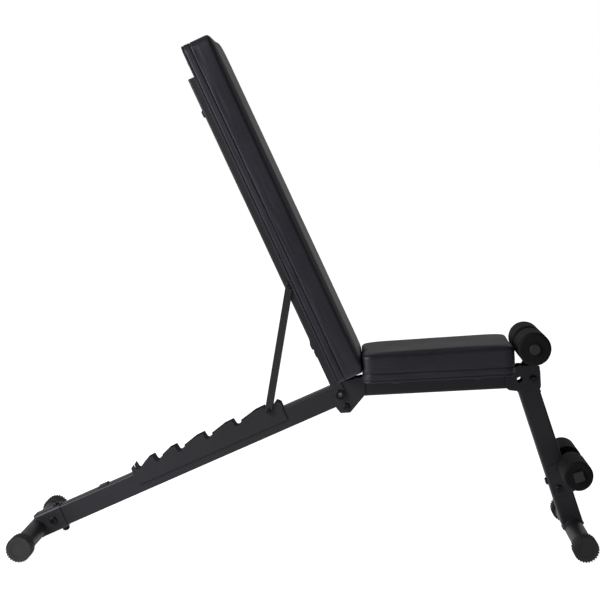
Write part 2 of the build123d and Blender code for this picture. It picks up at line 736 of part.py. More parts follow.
# Post gusset: curved web behind the post.
post_back = post_x - post_section / 2 - weld_gap
with BuildPart() as post_gusset:
    with BuildSketch(Plane.XZ):
        with BuildLine():
            Line((post_back, 360), (post_back, 446))
            ThreePointArc((post_back, 446), (post_back - 5, 424), (post_back - 20, 414))
            Line((post_back - 20, 414), (post_back - 20, 360))
            Line((post_back - 20, 360), (post_back, 360))
        make_face()
    extrude(amount=3.0, both=True)
    with BuildSketch(seat_plane):
        with Locations((seat_rail_end - 60, seat_rail_h / 2 + weld_gap - 60)):
            Rectangle(200, 120)
    extrude(amount=80, both=True, mode=Mode.SUBTRACT)
post_gusset.part.label = "post_gusset"
export_step(post_gusset.part, "parts/post_gusset.step")

# Upper roller tube and its end plugs.
with BuildPart() as upper_roller_tube:
    with Locations((post_x, 0, upper_roller_z)):
        Cylinder(upper_tube_r, 2 * upper_half, rotation=(90, 0, 0))
        Cylinder(
            upper_tube_r - upper_tube_wall,
            2 * upper_half + 2,
            rotation=(90, 0, 0),
            mode=Mode.SUBTRACT,
        )
upper_roller_tube.part.label = "upper_roller_tube"
export_step(upper_roller_tube.part, "parts/upper_roller_tube.step")

with BuildPart() as upper_tube_plugs:
    with Locations(
        (post_x, -(upper_half + plug_t / 2), upper_roller_z),
        (post_x, upper_half + plug_t / 2, upper_roller_z),
    ):
        Cylinder(upper_plug_r, plug_t, rotation=(90, 0, 0))
    fillet(upper_tube_plugs.edges().filter_by(GeomType.CIRCLE).group_by(Axis.Y)[0], upper_plug_round)
    fillet(upper_tube_plugs.edges().filter_by(GeomType.CIRCLE).group_by(Axis.Y)[-1], upper_plug_round)
upper_tube_plugs.part.label = "upper_tube_plugs"
export_step(upper_tube_plugs.part, "parts/upper_tube_plugs.step")

# Upper foam rollers: they turn on the tube on each side of the post.
with BuildPart() as upper_foam_right:
    with BuildSketch(Plane.XZ.offset(upper_foam_in)):
        with Locations((post_x, upper_roller_z)):
            Circle(upper_roller_r)
    extrude(amount=upper_foam_out - upper_foam_in)
    fillet(upper_foam_right.edges().filter_by(GeomType.CIRCLE), foam_edge_r)
    with Locations((post_x, 0, upper_roller_z)):
        Cylinder(upper_tube_r + running_gap, 400, rotation=(90, 0, 0), mode=Mode.SUBTRACT)
upper_foam_right.part.label = "upper_foam_right"
export_step(upper_foam_right.part, "parts/upper_foam_right.step")

with BuildPart() as upper_foam_left:
    mirror(upper_foam_right.part, about=Plane.XZ)
upper_foam_left.part.label = "upper_foam_left"
export_step(upper_foam_left.part, "parts/upper_foam_left.step")

# ================================================================ backrest
# Backrest rail: flat rectangular section behind the board.
with BuildPart() as back_rail:
    with BuildSketch(square_to(back_plane, rail_from)):
        RectangleRounded(rail_width, rail_depth, 4.0)
        RectangleRounded(rail_width - 2 * rail_wall, rail_depth - 2 * rail_wall, 2.0, mode=Mode.SUBTRACT)
    extrude(amount=rail_to - rail_from)
    with BuildSketch(back_plane):
        with Locations((strut_top_at, 0)):
            Circle(hole_r)
    extrude(amount=80, both=True, mode=Mode.SUBTRACT)
    with Locations(back_plane.location):
        with Locations(*[(along, 0, 0) for along in pad_bolt_at]):
            Cylinder(hole_r, 60, rotation=(90, 0, 0), mode=Mode.SUBTRACT)
back_rail.part.label = "back_rail"
export_step(back_rail.part, "parts/back_rail.step")

# Rail plugs: plastic inserts in both ends of the backrest rail.
with BuildPart() as back_rail_plugs:
    with BuildSketch(square_to(back_plane, rail_to), square_to(back_plane, rail_from - plug_t)):
        RectangleRounded(rail_width, rail_depth, 4.0)
    extrude(amount=plug_t)
back_rail_plugs.part.label = "back_rail_plugs"
export_step(back_rail_plugs.part, "parts/back_rail_plugs.step")

# Backrest ears: straps on the rail's sides that reach down to the pivot tube.
with BuildPart() as back_ear_right:
    with BuildSketch(back_plane.offset(-ear_in)):
        with Locations((ear_to / 2, 0)):
            Rectangle(ear_to, rail_depth)
        Circle(ear_r)
        Circle(pivot_tube_r + running_gap, mode=Mode.SUBTRACT)
    extrude(amount=-ear_t)
back_ear_right.part.label = "back_ear_right"
export_step(back_ear_right.part, "parts/back_ear_right.step")

with BuildPart() as back_ear_left:
    mirror(back_ear_right.part, about=Plane.XZ)
back_ear_left.part.label = "back_ear_left"
export_step(back_ear_left.part, "parts/back_ear_left.step")

# Backrest board: plywood under the cushion, bolted to the rail.
back_pad_middle = back_pad_from + back_pad_length / 2
back_pad_seat = Plane(
    back_plane.from_local_coords((back_pad_middle, rail_depth / 2, 0)), up_back, back_plane.y_dir
)
with BuildPart() as back_board:
    with BuildSketch(back_pad_seat):
        RectangleRounded(back_pad_length - 2 * board_inset, pad_width - 2 * board_inset, board_corner_r)
    extrude(amount=board_t)
    with Locations(back_plane.location):
        with Locations(*[(along, rail_depth / 2, 0) for along in pad_bolt_at]):
            Cylinder(
                hole_r, 2 * (board_t - board_hole_short), rotation=(90, 0, 0), mode=Mode.SUBTRACT
            )
back_board.part.label = "back_board"
export_step(back_board.part, "parts/back_board.step")

# Backrest pad: long foam cushion with rounded corners, closed over the board. The seat pad presses
# a flat into its lower front edge.
pressed_at = seat_plane.from_local_coords((seat_pad_from - pads_gap, seat_pad_low, 0))
pressed_flat = Plane(pressed_at, (0, 1, 0), along_seat)
with BuildPart() as back_pad:
    with BuildSketch(back_pad_seat):
        RectangleRounded(back_pad_length, pad_width, pad_corner_r)
    extrude(amount=back_pad_t)
    fillet(back_pad.faces().sort_by(Axis((0, 0, 0), back_plane.y_dir))[-1].edges(), pad_edge_r)
    split(bisect_by=pressed_flat, keep=Keep.BOTTOM)
    with BuildSketch(back_pad_seat):
        RectangleRounded(
            back_pad_length - 2 * (board_inset - board_gap),
            pad_width - 2 * (board_inset - board_gap),
            board_corner_r + board_gap,
        )
    extrude(amount=board_t + board_gap, mode=Mode.SUBTRACT)
back_pad.part.label = "back_pad"
export_step(back_pad.part, "parts/back_pad.step")

# Pad bolts: two button heads from behind, through the rail into the board.
with BuildPart() as back_pad_bolts:
    for along in pad_bolt_at:
        bolt_seat = square_to(back_plane, along, -rail_depth / 2, -back_plane.y_dir)
        add(make_bolt(bolt_seat, rail_depth + board_t - board_screw_short))
back_pad_bolts.part.label = "back_pad_bolts"
export_step(back_pad_bolts.part, "parts/back_pad_bolts.step")

# Strut bolt: hinge pin of the strut, through the backrest rail.
strut_out = strut_in + strut_bar_t + 0.4
with BuildPart() as strut_bolt:
    add(make_bolt(side_plane(back_plane, strut_top_at, 0, -strut_out), 2 * strut_out + bolt_tail))
strut_bolt.part.label = "strut_bolt"
export_step(strut_bolt.part, "parts/strut_bolt.step")

with BuildPart() as strut_bolt_nut:
    add(make_nut(side_plane(back_plane, strut_top_at, 0, strut_out)))
strut_bolt_nut.part.label = "strut_bolt_nut"
export_step(strut_bolt_nut.part, "parts/strut_bolt_nut.step")

# ================================================================ strut
# Strut bars: flat bars on both sides, from the strut bolt down to the cross pin.
with BuildPart() as strut_bar_right:
    with BuildSketch(strut_plane.offset(-strut_in)):
        with Locations((strut_length / 2, 0)):
            SlotCenterToCenter(strut_length, strut_bar_w)
        with Locations((0, 0)):
            Circle(bolt_r + running_gap, mode=Mode.SUBTRACT)
        with Locations((strut_length, 0)):
            Circle(strut_pin_r + plate_gap, mode=Mode.SUBTRACT)
    extrude(amount=-strut_bar_t)
strut_bar_right.part.label = "strut_bar_right"
export_step(strut_bar_right.part, "parts/strut_bar_right.step")

with BuildPart() as strut_bar_left:
    mirror(strut_bar_right.part, about=Plane.XZ)
strut_bar_left.part.label = "strut_bar_left"
export_step(strut_bar_left.part, "parts/strut_bar_left.step")

# Strut pin: round bar that drops into the ladder's notches, with domed ends.
with BuildPart() as strut_pin:
    with Locations(strut_foot):
        Cylinder(strut_pin_r, 2 * strut_pin_half, rotation=(90, 0, 0))
    fillet(strut_pin.edges().filter_by(GeomType.CIRCLE), 1.5)
strut_pin.part.label = "strut_pin"
export_step(strut_pin.part, "parts/strut_pin.step")

# Strut brace: cross bar welded between the two strut bars.
with BuildPart() as strut_brace:
    with Locations(strut_plane.from_local_coords((strut_brace_at, 0, 0))):
        Cylinder(5.0, 2 * strut_in - weld_gap, rotation=(90, 0, 0))
strut_brace.part.label = "strut_brace"
export_step(strut_brace.part, "parts/strut_brace.step")
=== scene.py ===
import json
from math import cos, exp, hypot, log, pi, radians, sin, tau

import bmesh
import bpy
import numpy as np
from mathutils import Matrix, Vector, noise


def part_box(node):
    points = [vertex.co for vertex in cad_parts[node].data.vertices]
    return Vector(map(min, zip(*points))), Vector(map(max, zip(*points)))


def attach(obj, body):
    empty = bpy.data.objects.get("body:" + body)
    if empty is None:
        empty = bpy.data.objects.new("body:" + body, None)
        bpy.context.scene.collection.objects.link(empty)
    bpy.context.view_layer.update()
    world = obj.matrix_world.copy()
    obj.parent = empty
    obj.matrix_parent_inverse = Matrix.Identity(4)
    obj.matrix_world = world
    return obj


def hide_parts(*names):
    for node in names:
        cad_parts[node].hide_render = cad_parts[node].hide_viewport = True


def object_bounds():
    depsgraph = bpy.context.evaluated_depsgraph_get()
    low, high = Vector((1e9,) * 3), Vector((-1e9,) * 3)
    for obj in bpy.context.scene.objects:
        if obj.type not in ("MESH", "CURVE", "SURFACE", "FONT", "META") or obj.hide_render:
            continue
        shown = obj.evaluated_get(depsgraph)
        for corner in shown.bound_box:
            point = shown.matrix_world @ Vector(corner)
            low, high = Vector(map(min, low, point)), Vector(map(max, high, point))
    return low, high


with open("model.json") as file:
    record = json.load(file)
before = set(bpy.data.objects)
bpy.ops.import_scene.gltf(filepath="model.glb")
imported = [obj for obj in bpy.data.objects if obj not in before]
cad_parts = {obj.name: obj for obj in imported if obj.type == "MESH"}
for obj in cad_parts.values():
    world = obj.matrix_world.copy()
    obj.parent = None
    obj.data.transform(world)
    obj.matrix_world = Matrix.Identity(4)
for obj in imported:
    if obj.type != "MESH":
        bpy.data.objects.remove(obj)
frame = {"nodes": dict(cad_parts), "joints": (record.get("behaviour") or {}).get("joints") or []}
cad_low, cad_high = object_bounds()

scene = bpy.context.scene

# ------------------------------------------------------------------ studio
# The bench stands on a pale floor that runs out to a white horizon. A long lens looks at its right
# side from a little above seat height. The sky that lights it is white and dim, least so beyond the
# bench and low down, and one softbox on the near side lights the rear half.
CAMERA_PLACE = (0.1494, -3.8686, 0.9061)
CAMERA_TURN = radians(0.78)
CAMERA_TIP = radians(-3.445)
CAMERA_ROLL = radians(0.166)
LENS = 97.5
FILM_WIDTH = 36.0
LENS_SHIFT = (-0.075, -0.0667)

lens = bpy.data.cameras.new("bench_camera")
lens.lens = LENS
lens.sensor_width = FILM_WIDTH
lens.shift_x, lens.shift_y = LENS_SHIFT
camera = bpy.data.objects.new("bench_camera", lens)
camera.matrix_world = (
    Matrix.Translation(CAMERA_PLACE)
    @ Matrix.Rotation(CAMERA_TURN, 4, "Z")
    @ Matrix.Rotation(pi / 2 + CAMERA_TIP, 4, "X")
    @ Matrix.Rotation(-CAMERA_ROLL, 4, "Z")
)
scene.collection.objects.link(camera)
scene.camera = camera
scene.view_settings.view_transform = "Standard"
scene.view_settings.look = "None"


class Wire:
    """One socket of a shader. Arithmetic on wires adds Math nodes, and node() adds any other node."""

    def __init__(self, tree, socket=None):
        self.tree = tree
        self.socket = socket

    def node(self, kind, settings=None, sockets=None, out=0):
        made = self.tree.nodes.new("ShaderNode" + kind)
        for name, value in (settings or {}).items():
            if name == "stops":
                while len(made.color_ramp.elements) < len(value):
                    made.color_ramp.elements.new(1.0)
                for element, (place, shade) in zip(made.color_ramp.elements, value):
                    element.position = place
                    element.color = shade if hasattr(shade, "__len__") else (shade, shade, shade, 1)
            else:
                setattr(made, name, value)
        for name, value in (sockets or {}).items():
            if isinstance(value, Wire):
                self.tree.links.new(value.socket, made.inputs[name])
            else:
                made.inputs[name].default_value = value
        return Wire(self.tree, made.outputs[out])

    def sum(self, operation, first, second):
        return self.node("Math", {"operation": operation}, {0: first, 1: second})

    def __add__(self, other):
        return self.sum("ADD", self, other)

    def __radd__(self, other):
        return self.sum("ADD", other, self)

    def __sub__(self, other):
        return self.sum("SUBTRACT", self, other)

    def __rsub__(self, other):
        return self.sum("SUBTRACT", other, self)

    def __mul__(self, other):
        return self.sum("MULTIPLY", self, other)

    def __rmul__(self, other):
        return self.sum("MULTIPLY", other, self)

    def __truediv__(self, other):
        return self.sum("DIVIDE", self, other)

    def __pow__(self, other):
        return self.sum("POWER", self, other)

    def held(self):
        """The same value, kept from 0 to 1."""
        return self.node("Clamp", {}, {"Value": self})

    def between(self, first, second):
        """A colour between two others, by this value."""
        return self.node("Mix", {"data_type": "RGBA"}, {0: self, 6: first, 7: second}, out=2)


def make_finish(name, recipe, **fixed):
    """A material: fixed numbers sit on its shader, and the recipe gives what changes over it."""
    material = bpy.data.materials.new(name)
    material.use_nodes = True
    surface = material.node_tree.nodes["Principled BSDF"]
    for socket, value in fixed.items():
        surface.inputs[socket.replace("_", " ")].default_value = value
    for socket, wire in recipe(Wire(material.node_tree)).items():
        material.node_tree.links.new(wire.socket, surface.inputs[socket])
    return material


def make_piece(name, points, faces, material, smooth=True):
    """A mesh object from points and faces, with its faces turned outwards."""
    mesh = bpy.data.meshes.new(name)
    mesh.from_pydata([tuple(p) for p in points], [], faces)
    work = bmesh.new()
    work.from_mesh(mesh)
    bmesh.ops.recalc_face_normals(work, faces=work.faces)
    work.to_mesh(mesh)
    work.free()
    mesh.polygons.foreach_set("use_smooth", [smooth] * len(mesh.polygons))
    mesh.materials.append(material)
    piece = bpy.data.objects.new(name, mesh)
    scene.collection.objects.link(piece)
    return piece


FLOOR_RADIUS = 40.0
FLOOR_SIDES = 96
FLOOR_WHITE = 0.86
FLOOR_WORN = 0.82
FLOOR_GLOW = 0.98
FLOOR_BOUNCE = 0.30


def painted_floor(start):
    place = start.node("TexCoord", out="Object")
    cloud = start.node("TexNoise", {}, {"Vector": place, "Scale": 0.6, "Detail": 2.0})
    white = (FLOOR_WHITE, FLOOR_WHITE, FLOOR_WHITE, 1)
    worn = (FLOOR_WORN, FLOOR_WORN, FLOOR_WORN, 1)
    seen = start.node("LightPath", out="Is Camera Ray")
    return {
        "Base Color": (cloud * 0.3).between(white, worn),
        "Emission Color": seen.between((FLOOR_BOUNCE, FLOOR_BOUNCE, FLOOR_BOUNCE, 1), (1, 1, 1, 1)),
    }


floor_finish = make_finish(
    "studio_floor",
    painted_floor,
    Roughness=0.9,
    Specular_IOR_Level=0.1,
    Emission_Strength=FLOOR_GLOW,
)
rim = [
    (FLOOR_RADIUS * cos(tau * i / FLOOR_SIDES), FLOOR_RADIUS * sin(tau * i / FLOOR_SIDES), 0)
    for i in range(FLOOR_SIDES)
]
floor = make_piece("studio_floor", rim, [list(range(FLOOR_SIDES))], floor_finish, smooth=False)
floor.location.z = cad_low.z - 0.0004

OVERHEAD = 0.5
CAMERA_SIDE = 0.09
FAR_SIDE = 0.42
world = bpy.data.worlds.new("studio_light")
world.use_nodes = True
scene.world = world
sky = world.node_tree.nodes["Background"]
sky.inputs["Color"].default_value = (1, 1, 1, 1)
start = Wire(world.node_tree)
heading = start.node("TexCoord", out="Generated")
across = start.node("SeparateXYZ", {}, {"Vector": heading}, out="Y")
height = start.node("SeparateXYZ", {}, {"Vector": heading}, out="Z")
behind = start.node(
    "MapRange",
    {"interpolation_type": "SMOOTHSTEP"},
    {"Value": across, "From Min": -0.5, "From Max": 0.3, "To Min": CAMERA_SIDE, "To Max": FAR_SIDE},
)
low_sky = start.node(
    "MapRange",
    {"interpolation_type": "SMOOTHSTEP"},
    {"Value": height, "From Min": 0.12, "From Max": 0.6, "To Min": 1.0, "To Max": OVERHEAD},
)
seen = start.node("LightPath", out="Is Camera Ray")
glow = behind * low_sky * (1.0 - seen) + seen
world.node_tree.links.new(glow.socket, sky.inputs["Strength"])

SOFTBOX_PLACE = (-1.75, -1.25, 1.3)
SOFTBOX_AIM = (-0.3, 0.0, 0.5)
SOFTBOX_WIDTH = 1.3
SOFTBOX_HEIGHT = 1.2
SOFTBOX_POWER = 54.0


def softbox(name, place, aim, width, height, power):
    """A large rectangular lamp that faces a point of the bench."""
    lamp = bpy.data.lights.new(name, "AREA")
    lamp.shape = "RECTANGLE"
    lamp.size = width
    lamp.size_y = height
    lamp.energy = power
    stand = bpy.data.objects.new(name, lamp)
    stand.location = place
    stand.rotation_euler = (Vector(aim) - Vector(place)).to_track_quat("-Z", "Y").to_euler()
    scene.collection.objects.link(stand)


softbox("side_softbox", SOFTBOX_PLACE, SOFTBOX_AIM, SOFTBOX_WIDTH, SOFTBOX_HEIGHT, SOFTBOX_POWER)

# ------------------------------------------------------------------ feet
# Each foot is a round steel tube across the bench, powder coated in satin black like every other
# steel piece, with a fine orange peel and edges rubbed a little lighter. Its ends are pushed into
# moulded rubber cups with ribs all round, matt and slightly dusty.
COAT_DARK = (0.0105, 0.0105, 0.0108, 1)
COAT_PALE = (0.0165, 0.0165, 0.0168, 1)
COAT_RUBBED = (0.045, 0.045, 0.046, 1)
COAT_TINT = (0.86, 0.84, 1.0, 1)
EDGE_RADIUS = 0.0014
EDGE_GAIN = 7.0
PEEL_GRAIN = 950.0
PEEL_DEPTH = 0.00006


def edge_rub(start, radius):
    """How far a spot lies on an edge, from 0 on a flat face to 1 on a corner."""
    softened = start.node("Bevel", {"samples": 4}, {"Radius": radius})
    facing = start.node("NewGeometry", out="Normal")
    agree = start.node("VectorMath", {"operation": "DOT_PRODUCT"}, {0: softened, 1: facing}, out="Value")
    return ((1.0 - agree) * EDGE_GAIN).held()


def powder_coat(start):
    place = start.node("TexCoord", out="Object")
    cloud = start.node("TexNoise", {}, {"Vector": place, "Scale": 7.0, "Detail": 4.0})
    speck = start.node("TexNoise", {}, {"Vector": place, "Scale": 160.0, "Detail": 3.0})
    peel = start.node("TexNoise", {}, {"Vector": place, "Scale": PEEL_GRAIN, "Detail": 2.0})
    rubbed = (edge_rub(start, EDGE_RADIUS) * (speck * 1.6 - 0.35)).held()
    coat = cloud.between(COAT_DARK, COAT_PALE)
    return {
        "Base Color": rubbed.between(coat, COAT_RUBBED),
        "Roughness": cloud * 0.16 + speck * 0.08 + 0.33,
        "Normal": start.node("Bump", {}, {"Height": peel, "Strength": 0.6, "Distance": PEEL_DEPTH}),
    }


coated_steel = make_finish(
    "powder_coated_steel", powder_coat, Specular_IOR_Level=0.42, Specular_Tint=COAT_TINT
)

RUBBER_DARK = (0.0150, 0.0150, 0.0155, 1)
RUBBER_DUSTY = (0.044, 0.043, 0.043, 1)
RUBBER_EDGE = 0.0010
RUBBER_GRAIN = 0.00012


def moulded_rubber(start):
    place = start.node("TexCoord", out="Object")
    cloud = start.node("TexNoise", {}, {"Vector": place, "Scale": 26.0, "Detail": 5.0})
    grain = start.node("TexNoise", {}, {"Vector": place, "Scale": 700.0, "Detail": 3.0})
    dust = (cloud * 2.2 - 0.95).held() * (grain * 0.8 + 0.3)
    rubbed = (edge_rub(start, RUBBER_EDGE) * (grain + 0.1)).held()
    return {
        "Base Color": (dust * 0.45 + rubbed * 0.5).held().between(RUBBER_DARK, RUBBER_DUSTY),
        "Roughness": grain * 0.14 + 0.55,
        "Normal": start.node("Bump", {}, {"Height": grain, "Strength": 0.5, "Distance": RUBBER_GRAIN}),
    }


cap_rubber = make_finish("moulded_rubber", moulded_rubber, Specular_IOR_Level=0.4)


def paint(finish, *nodes):
    """Gives carried-over pieces their finish."""
    for name in nodes:
        skins = frame["nodes"][name].data.materials
        skins.clear()
        skins.append(finish)


paint(coated_steel, "rear_foot_tube", "front_foot_tube")
for end in ("rear", "front"):
    paint(cap_rubber, f"{end}_foot_cap_right", f"{end}_foot_cap_left")

# ------------------------------------------------------------------ main tube and rear sleeve
# A square steel tube slopes from the pivot down to the rear foot, where a thicker sleeve, welded on
# the foot, is bolted over it. Hand-laid beads of overlapping scales close the steel joints, painted
# over with the frame, and a low rubber block on top of the tube takes the lowered backrest.
TUBE_ANGLE = radians(23.75)
SCALE_PITCH = 0.0032
BEAD_STEP = 0.0008
BEAD_SIDES = 10
ARC_STEPS = 24

pivot = Vector(frame["joints"][0]["pos_m"])
down_tube = Vector((-cos(TUBE_ANGLE), 0, -sin(TUBE_ANGLE)))
above_tube = Vector((-sin(TUBE_ANGLE), 0, cos(TUBE_ANGLE)))


def middle(node):
    low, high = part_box(node)
    return (low + high) / 2


def across_bench(place, y):
    return Vector((place.x, y, place.z))


def evenly(path, step):
    """Points along a broken line, a step apart."""
    points = [Vector(p) for p in path]
    run = [0.0]
    for a, b in zip(points, points[1:]):
        run.append(run[-1] + (b - a).length)
    count = max(2, int(run[-1] / step))
    spots = []
    for i in range(count + 1):
        at = run[-1] * i / count
        k = max(j for j in range(len(run) - 1) if run[j] <= at + 1e-12)
        share = (at - run[k]) / max(run[k + 1] - run[k], 1e-9)
        spots.append(points[k].lerp(points[k + 1], min(share, 1.0)))
    return spots


def bead_rings(path, radius, seed):
    """Rings of points round a seam, swelling and narrowing like laid weld metal."""
    spots = evenly(path, BEAD_STEP)
    rings = []
    for i, spot in enumerate(spots):
        ahead = (spots[min(i + 1, len(spots) - 1)] - spots[max(i - 1, 0)]).normalized()
        side = ahead.orthogonal().normalized()
        over = ahead.cross(side)
        share = i / (len(spots) - 1)
        closing = min(1.0, 12 * share + 0.35, 12 * (1 - share) + 0.35)
        scale = abs(sin(pi * i * BEAD_STEP / SCALE_PITCH))
        wander = noise.noise(spot * 90 + Vector((seed, 0, 0)))
        reach = radius * closing * (0.82 + 0.18 * scale + 0.12 * wander)
        rings.append([
            spot + (side * cos(tau * k / BEAD_SIDES) + over * sin(tau * k / BEAD_SIDES)) * reach
            for k in range(BEAD_SIDES)
        ])
    return rings


def weld_beads(name, body, seams, radius):
    """One piece that holds the beads of a joint, riding on a body."""
    points, faces = [], []
    for seed, seam in enumerate(seams):
        rings = bead_rings(seam, radius, seed)
        first = len(points)
        for ring in rings:
            points.extend(ring)
        for i in range(len(rings) - 1):
            for k in range(BEAD_SIDES):
                a = first + i * BEAD_SIDES
                n = (k + 1) % BEAD_SIDES
                faces.append([a + k, a + n, a + BEAD_SIDES + n, a + BEAD_SIDES + k])
        faces.append([first + k for k in range(BEAD_SIDES)])
        faces.append([len(points) - 1 - k for k in range(BEAD_SIDES)])
    piece = make_piece(name, points, faces, coated_steel)
    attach(piece, body)
    return piece


def arc(centre, toward, y, radius, half_turn):
    """Points of an arc in an upright plane along the bench, centred on a direction."""
    turned = Vector((-toward.z, 0, toward.x))
    angles = [half_turn * (2 * i / ARC_STEPS - 1) for i in range(ARC_STEPS + 1)]
    return [
        across_bench(centre, y) + toward * radius * cos(angle) + turned * radius * sin(angle)
        for angle in angles
    ]


SLEEVE_SEAM = 0.0278
FOOT_SADDLE = 0.0232
SADDLE_TURN = radians(80)
SLEEVE_BEAD = 0.0023
rear_foot = middle("rear_foot_tube")
weld_beads(
    "rear_foot_welds",
    "frame",
    [arc(rear_foot, -down_tube, side * SLEEVE_SEAM, FOOT_SADDLE, SADDLE_TURN) for side in (-1, 1)],
    SLEEVE_BEAD,
)
paint(coated_steel, "main_tube", "rear_sleeve")
paint(cap_rubber, "rest_block")

# Button head bolts and nuts are black oxide steel, dark, half shiny and worn bright on the edges.
OXIDE = (0.020, 0.020, 0.022, 1)
OXIDE_BRIGHT = (0.16, 0.16, 0.17, 1)
BOLT_EDGE = 0.0008
FILM_DEPTH = 0.00005


def black_oxide(start):
    place = start.node("TexCoord", out="Object")
    film = start.node("TexNoise", {}, {"Vector": place, "Scale": 240.0, "Detail": 4.0})
    worn = (edge_rub(start, BOLT_EDGE) * (film * 1.5 - 0.2)).held()
    return {
        "Base Color": worn.between(OXIDE, OXIDE_BRIGHT),
        "Roughness": film * 0.25 + 0.27,
        "Normal": start.node("Bump", {}, {"Height": film, "Strength": 0.3, "Distance": FILM_DEPTH}),
    }


bolt_oxide = make_finish("black_oxide_steel", black_oxide, Metallic=0.85)
paint(bolt_oxide, "sleeve_bolts", "sleeve_nuts")

# ------------------------------------------------------------------ ladder and centre plates
# Two toothed plates stand on the main tube as the backrest's ladder, stitched to it with short
# beads. Two shaped plates carry the pivot and the seat rail at the tube's upper end, with a stop
# bolt and spacer across them.
LADDER_STITCHES = (0.150, 0.232, 0.312, 0.392, 0.470, 0.512)
STITCH = 0.020
LADDER_HEEL = -0.0046
PLATE_SIDE = 0.0262
PLATE_BEAD = 0.0019
weld_beads(
    "ladder_welds",
    "frame",
    [
        [
            across_bench(pivot + down_tube * (s + d) + above_tube * LADDER_HEEL, side * PLATE_SIDE)
            for d in (0, STITCH)
        ]
        for s in LADDER_STITCHES
        for side in (-1, 1)
    ],
    PLATE_BEAD,
)

PLATE_BEAD_FROM = 0.048
PLATE_BEAD_TO = 0.010
plate_low, plate_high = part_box("centre_plate_right")
plate_edge = plate_high.x + 0.0006
weld_beads(
    "centre_plate_welds",
    "frame",
    [
        [
            (plate_edge, side * PLATE_SIDE, plate_low.z + PLATE_BEAD_FROM),
            (plate_edge, side * PLATE_SIDE, plate_high.z - PLATE_BEAD_TO),
        ]
        for side in (-1, 1)
    ],
    PLATE_BEAD,
)
for side in ("right", "left"):
    paint(coated_steel, f"ladder_plate_{side}", f"centre_plate_{side}")
paint(bolt_oxide, "stop_bolt", "stop_bolt_nut", "stop_bolt_spacer")

# ------------------------------------------------------------------ front leg and bracket
# The raked front leg is the same square tube, saddled on the front foot and welded under the front
# bracket. The bracket is a folded steel channel that takes the end of the seat rail on one bolt.
LEG_LEAN = radians(18.24)
HALF_TUBE = 0.025
LEG_SEAM = HALF_TUBE + 0.0004
LEG_SADDLE_TURN = radians(78)
HEEL_LIFT = 0.006
HEEL_REACH = 0.0245
HEEL_HALF = 0.021
LEG_BEAD = 0.0021
down_leg = Vector((sin(LEG_LEAN), 0, -cos(LEG_LEAN)))
ahead_of_leg = Vector((cos(LEG_LEAN), 0, sin(LEG_LEAN)))
front_foot = middle("front_foot_tube")
heel = front_foot - down_leg * HEEL_LIFT
weld_beads(
    "front_foot_welds",
    "frame",
    [arc(front_foot, -down_leg, side * LEG_SEAM, FOOT_SADDLE, LEG_SADDLE_TURN) for side in (-1, 1)]
    + [
        [across_bench(heel + ahead_of_leg * way * HEEL_REACH, y) for y in (-HEEL_HALF, HEEL_HALF)]
        for way in (-1, 1)
    ],
    LEG_BEAD,
)

LEG_TOP_SIDE = 0.0258
LEG_TOP_HALF = 0.022
LEG_TOP_INSET = 0.004
leg_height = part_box("front_leg")[1].z - front_foot.z
leg_top = across_bench(front_foot, 0) - down_leg * (leg_height / cos(LEG_LEAN))
half_top = HALF_TUBE / cos(LEG_LEAN)
seam_z = leg_top.z - 0.0012
side_reach = half_top - LEG_TOP_INSET
end_reach = half_top + 0.0006
weld_beads(
    "leg_top_welds",
    "frame",
    [
        [(leg_top.x + way * side_reach, side * LEG_TOP_SIDE, seam_z) for way in (-1, 1)]
        for side in (-1, 1)
    ]
    + [
        [(leg_top.x + way * end_reach, y, seam_z) for y in (-LEG_TOP_HALF, LEG_TOP_HALF)]
        for way in (-1, 1)
    ],
    LEG_BEAD,
)
paint(coated_steel, "front_leg", "front_bracket")
paint(bolt_oxide, "front_bolt", "front_bolt_nut")

# ------------------------------------------------------------------ roller post and roller holder
# A square post with a gusset stands on the front bracket and carries the upper roller tube. A bent
# holder, bolted to the leg, carries the square lower roller bar. Moulded plastic plugs, smoother
# than the coat, close the open ends of the bars.
UPPER_SADDLE = 0.0116
POST_HALF = 0.013
POST_BEAD = 0.0016
straight_down = Vector((0, 0, -1))
post_low, post_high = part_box("roller_post")
upper_axis = middle("upper_roller_tube")
post_side = post_high.y + 0.0004
weld_beads(
    "post_welds",
    "frame",
    [arc(upper_axis, straight_down, side * post_side, UPPER_SADDLE, SADDLE_TURN) for side in (-1, 1)]
    + [
        [(post_low.x - 0.0006, y, post_low.z + 0.0012) for y in (-POST_HALF, POST_HALF)],
        [(post_high.x + 0.0006, y, post_low.z + 0.0030) for y in (-POST_HALF, POST_HALF)],
    ],
    POST_BEAD,
)

BAR_SEAM = 0.0114
HOLDER_HALF = 0.023
BAR_BEAD = 0.0018
bar = middle("lower_roller_bar")
weld_beads(
    "roller_bar_welds",
    "frame",
    [
        [
            across_bench(bar + (down_leg * way - ahead_of_leg) * BAR_SEAM, y)
            for y in (-HOLDER_HALF, HOLDER_HALF)
        ]
        for way in (-1, 1)
    ],
    BAR_BEAD,
)
paint(coated_steel, "roller_post", "post_gusset", "upper_roller_tube")
paint(coated_steel, "roller_holder", "lower_roller_bar")
paint(bolt_oxide, "holder_bolts", "holder_nuts")

PLASTIC_DARK = (0.010, 0.010, 0.0105, 1)
PLASTIC_PALE = (0.034, 0.034, 0.035, 1)
PLASTIC_EDGE = 0.0009
SPARK_DEPTH = 0.00006


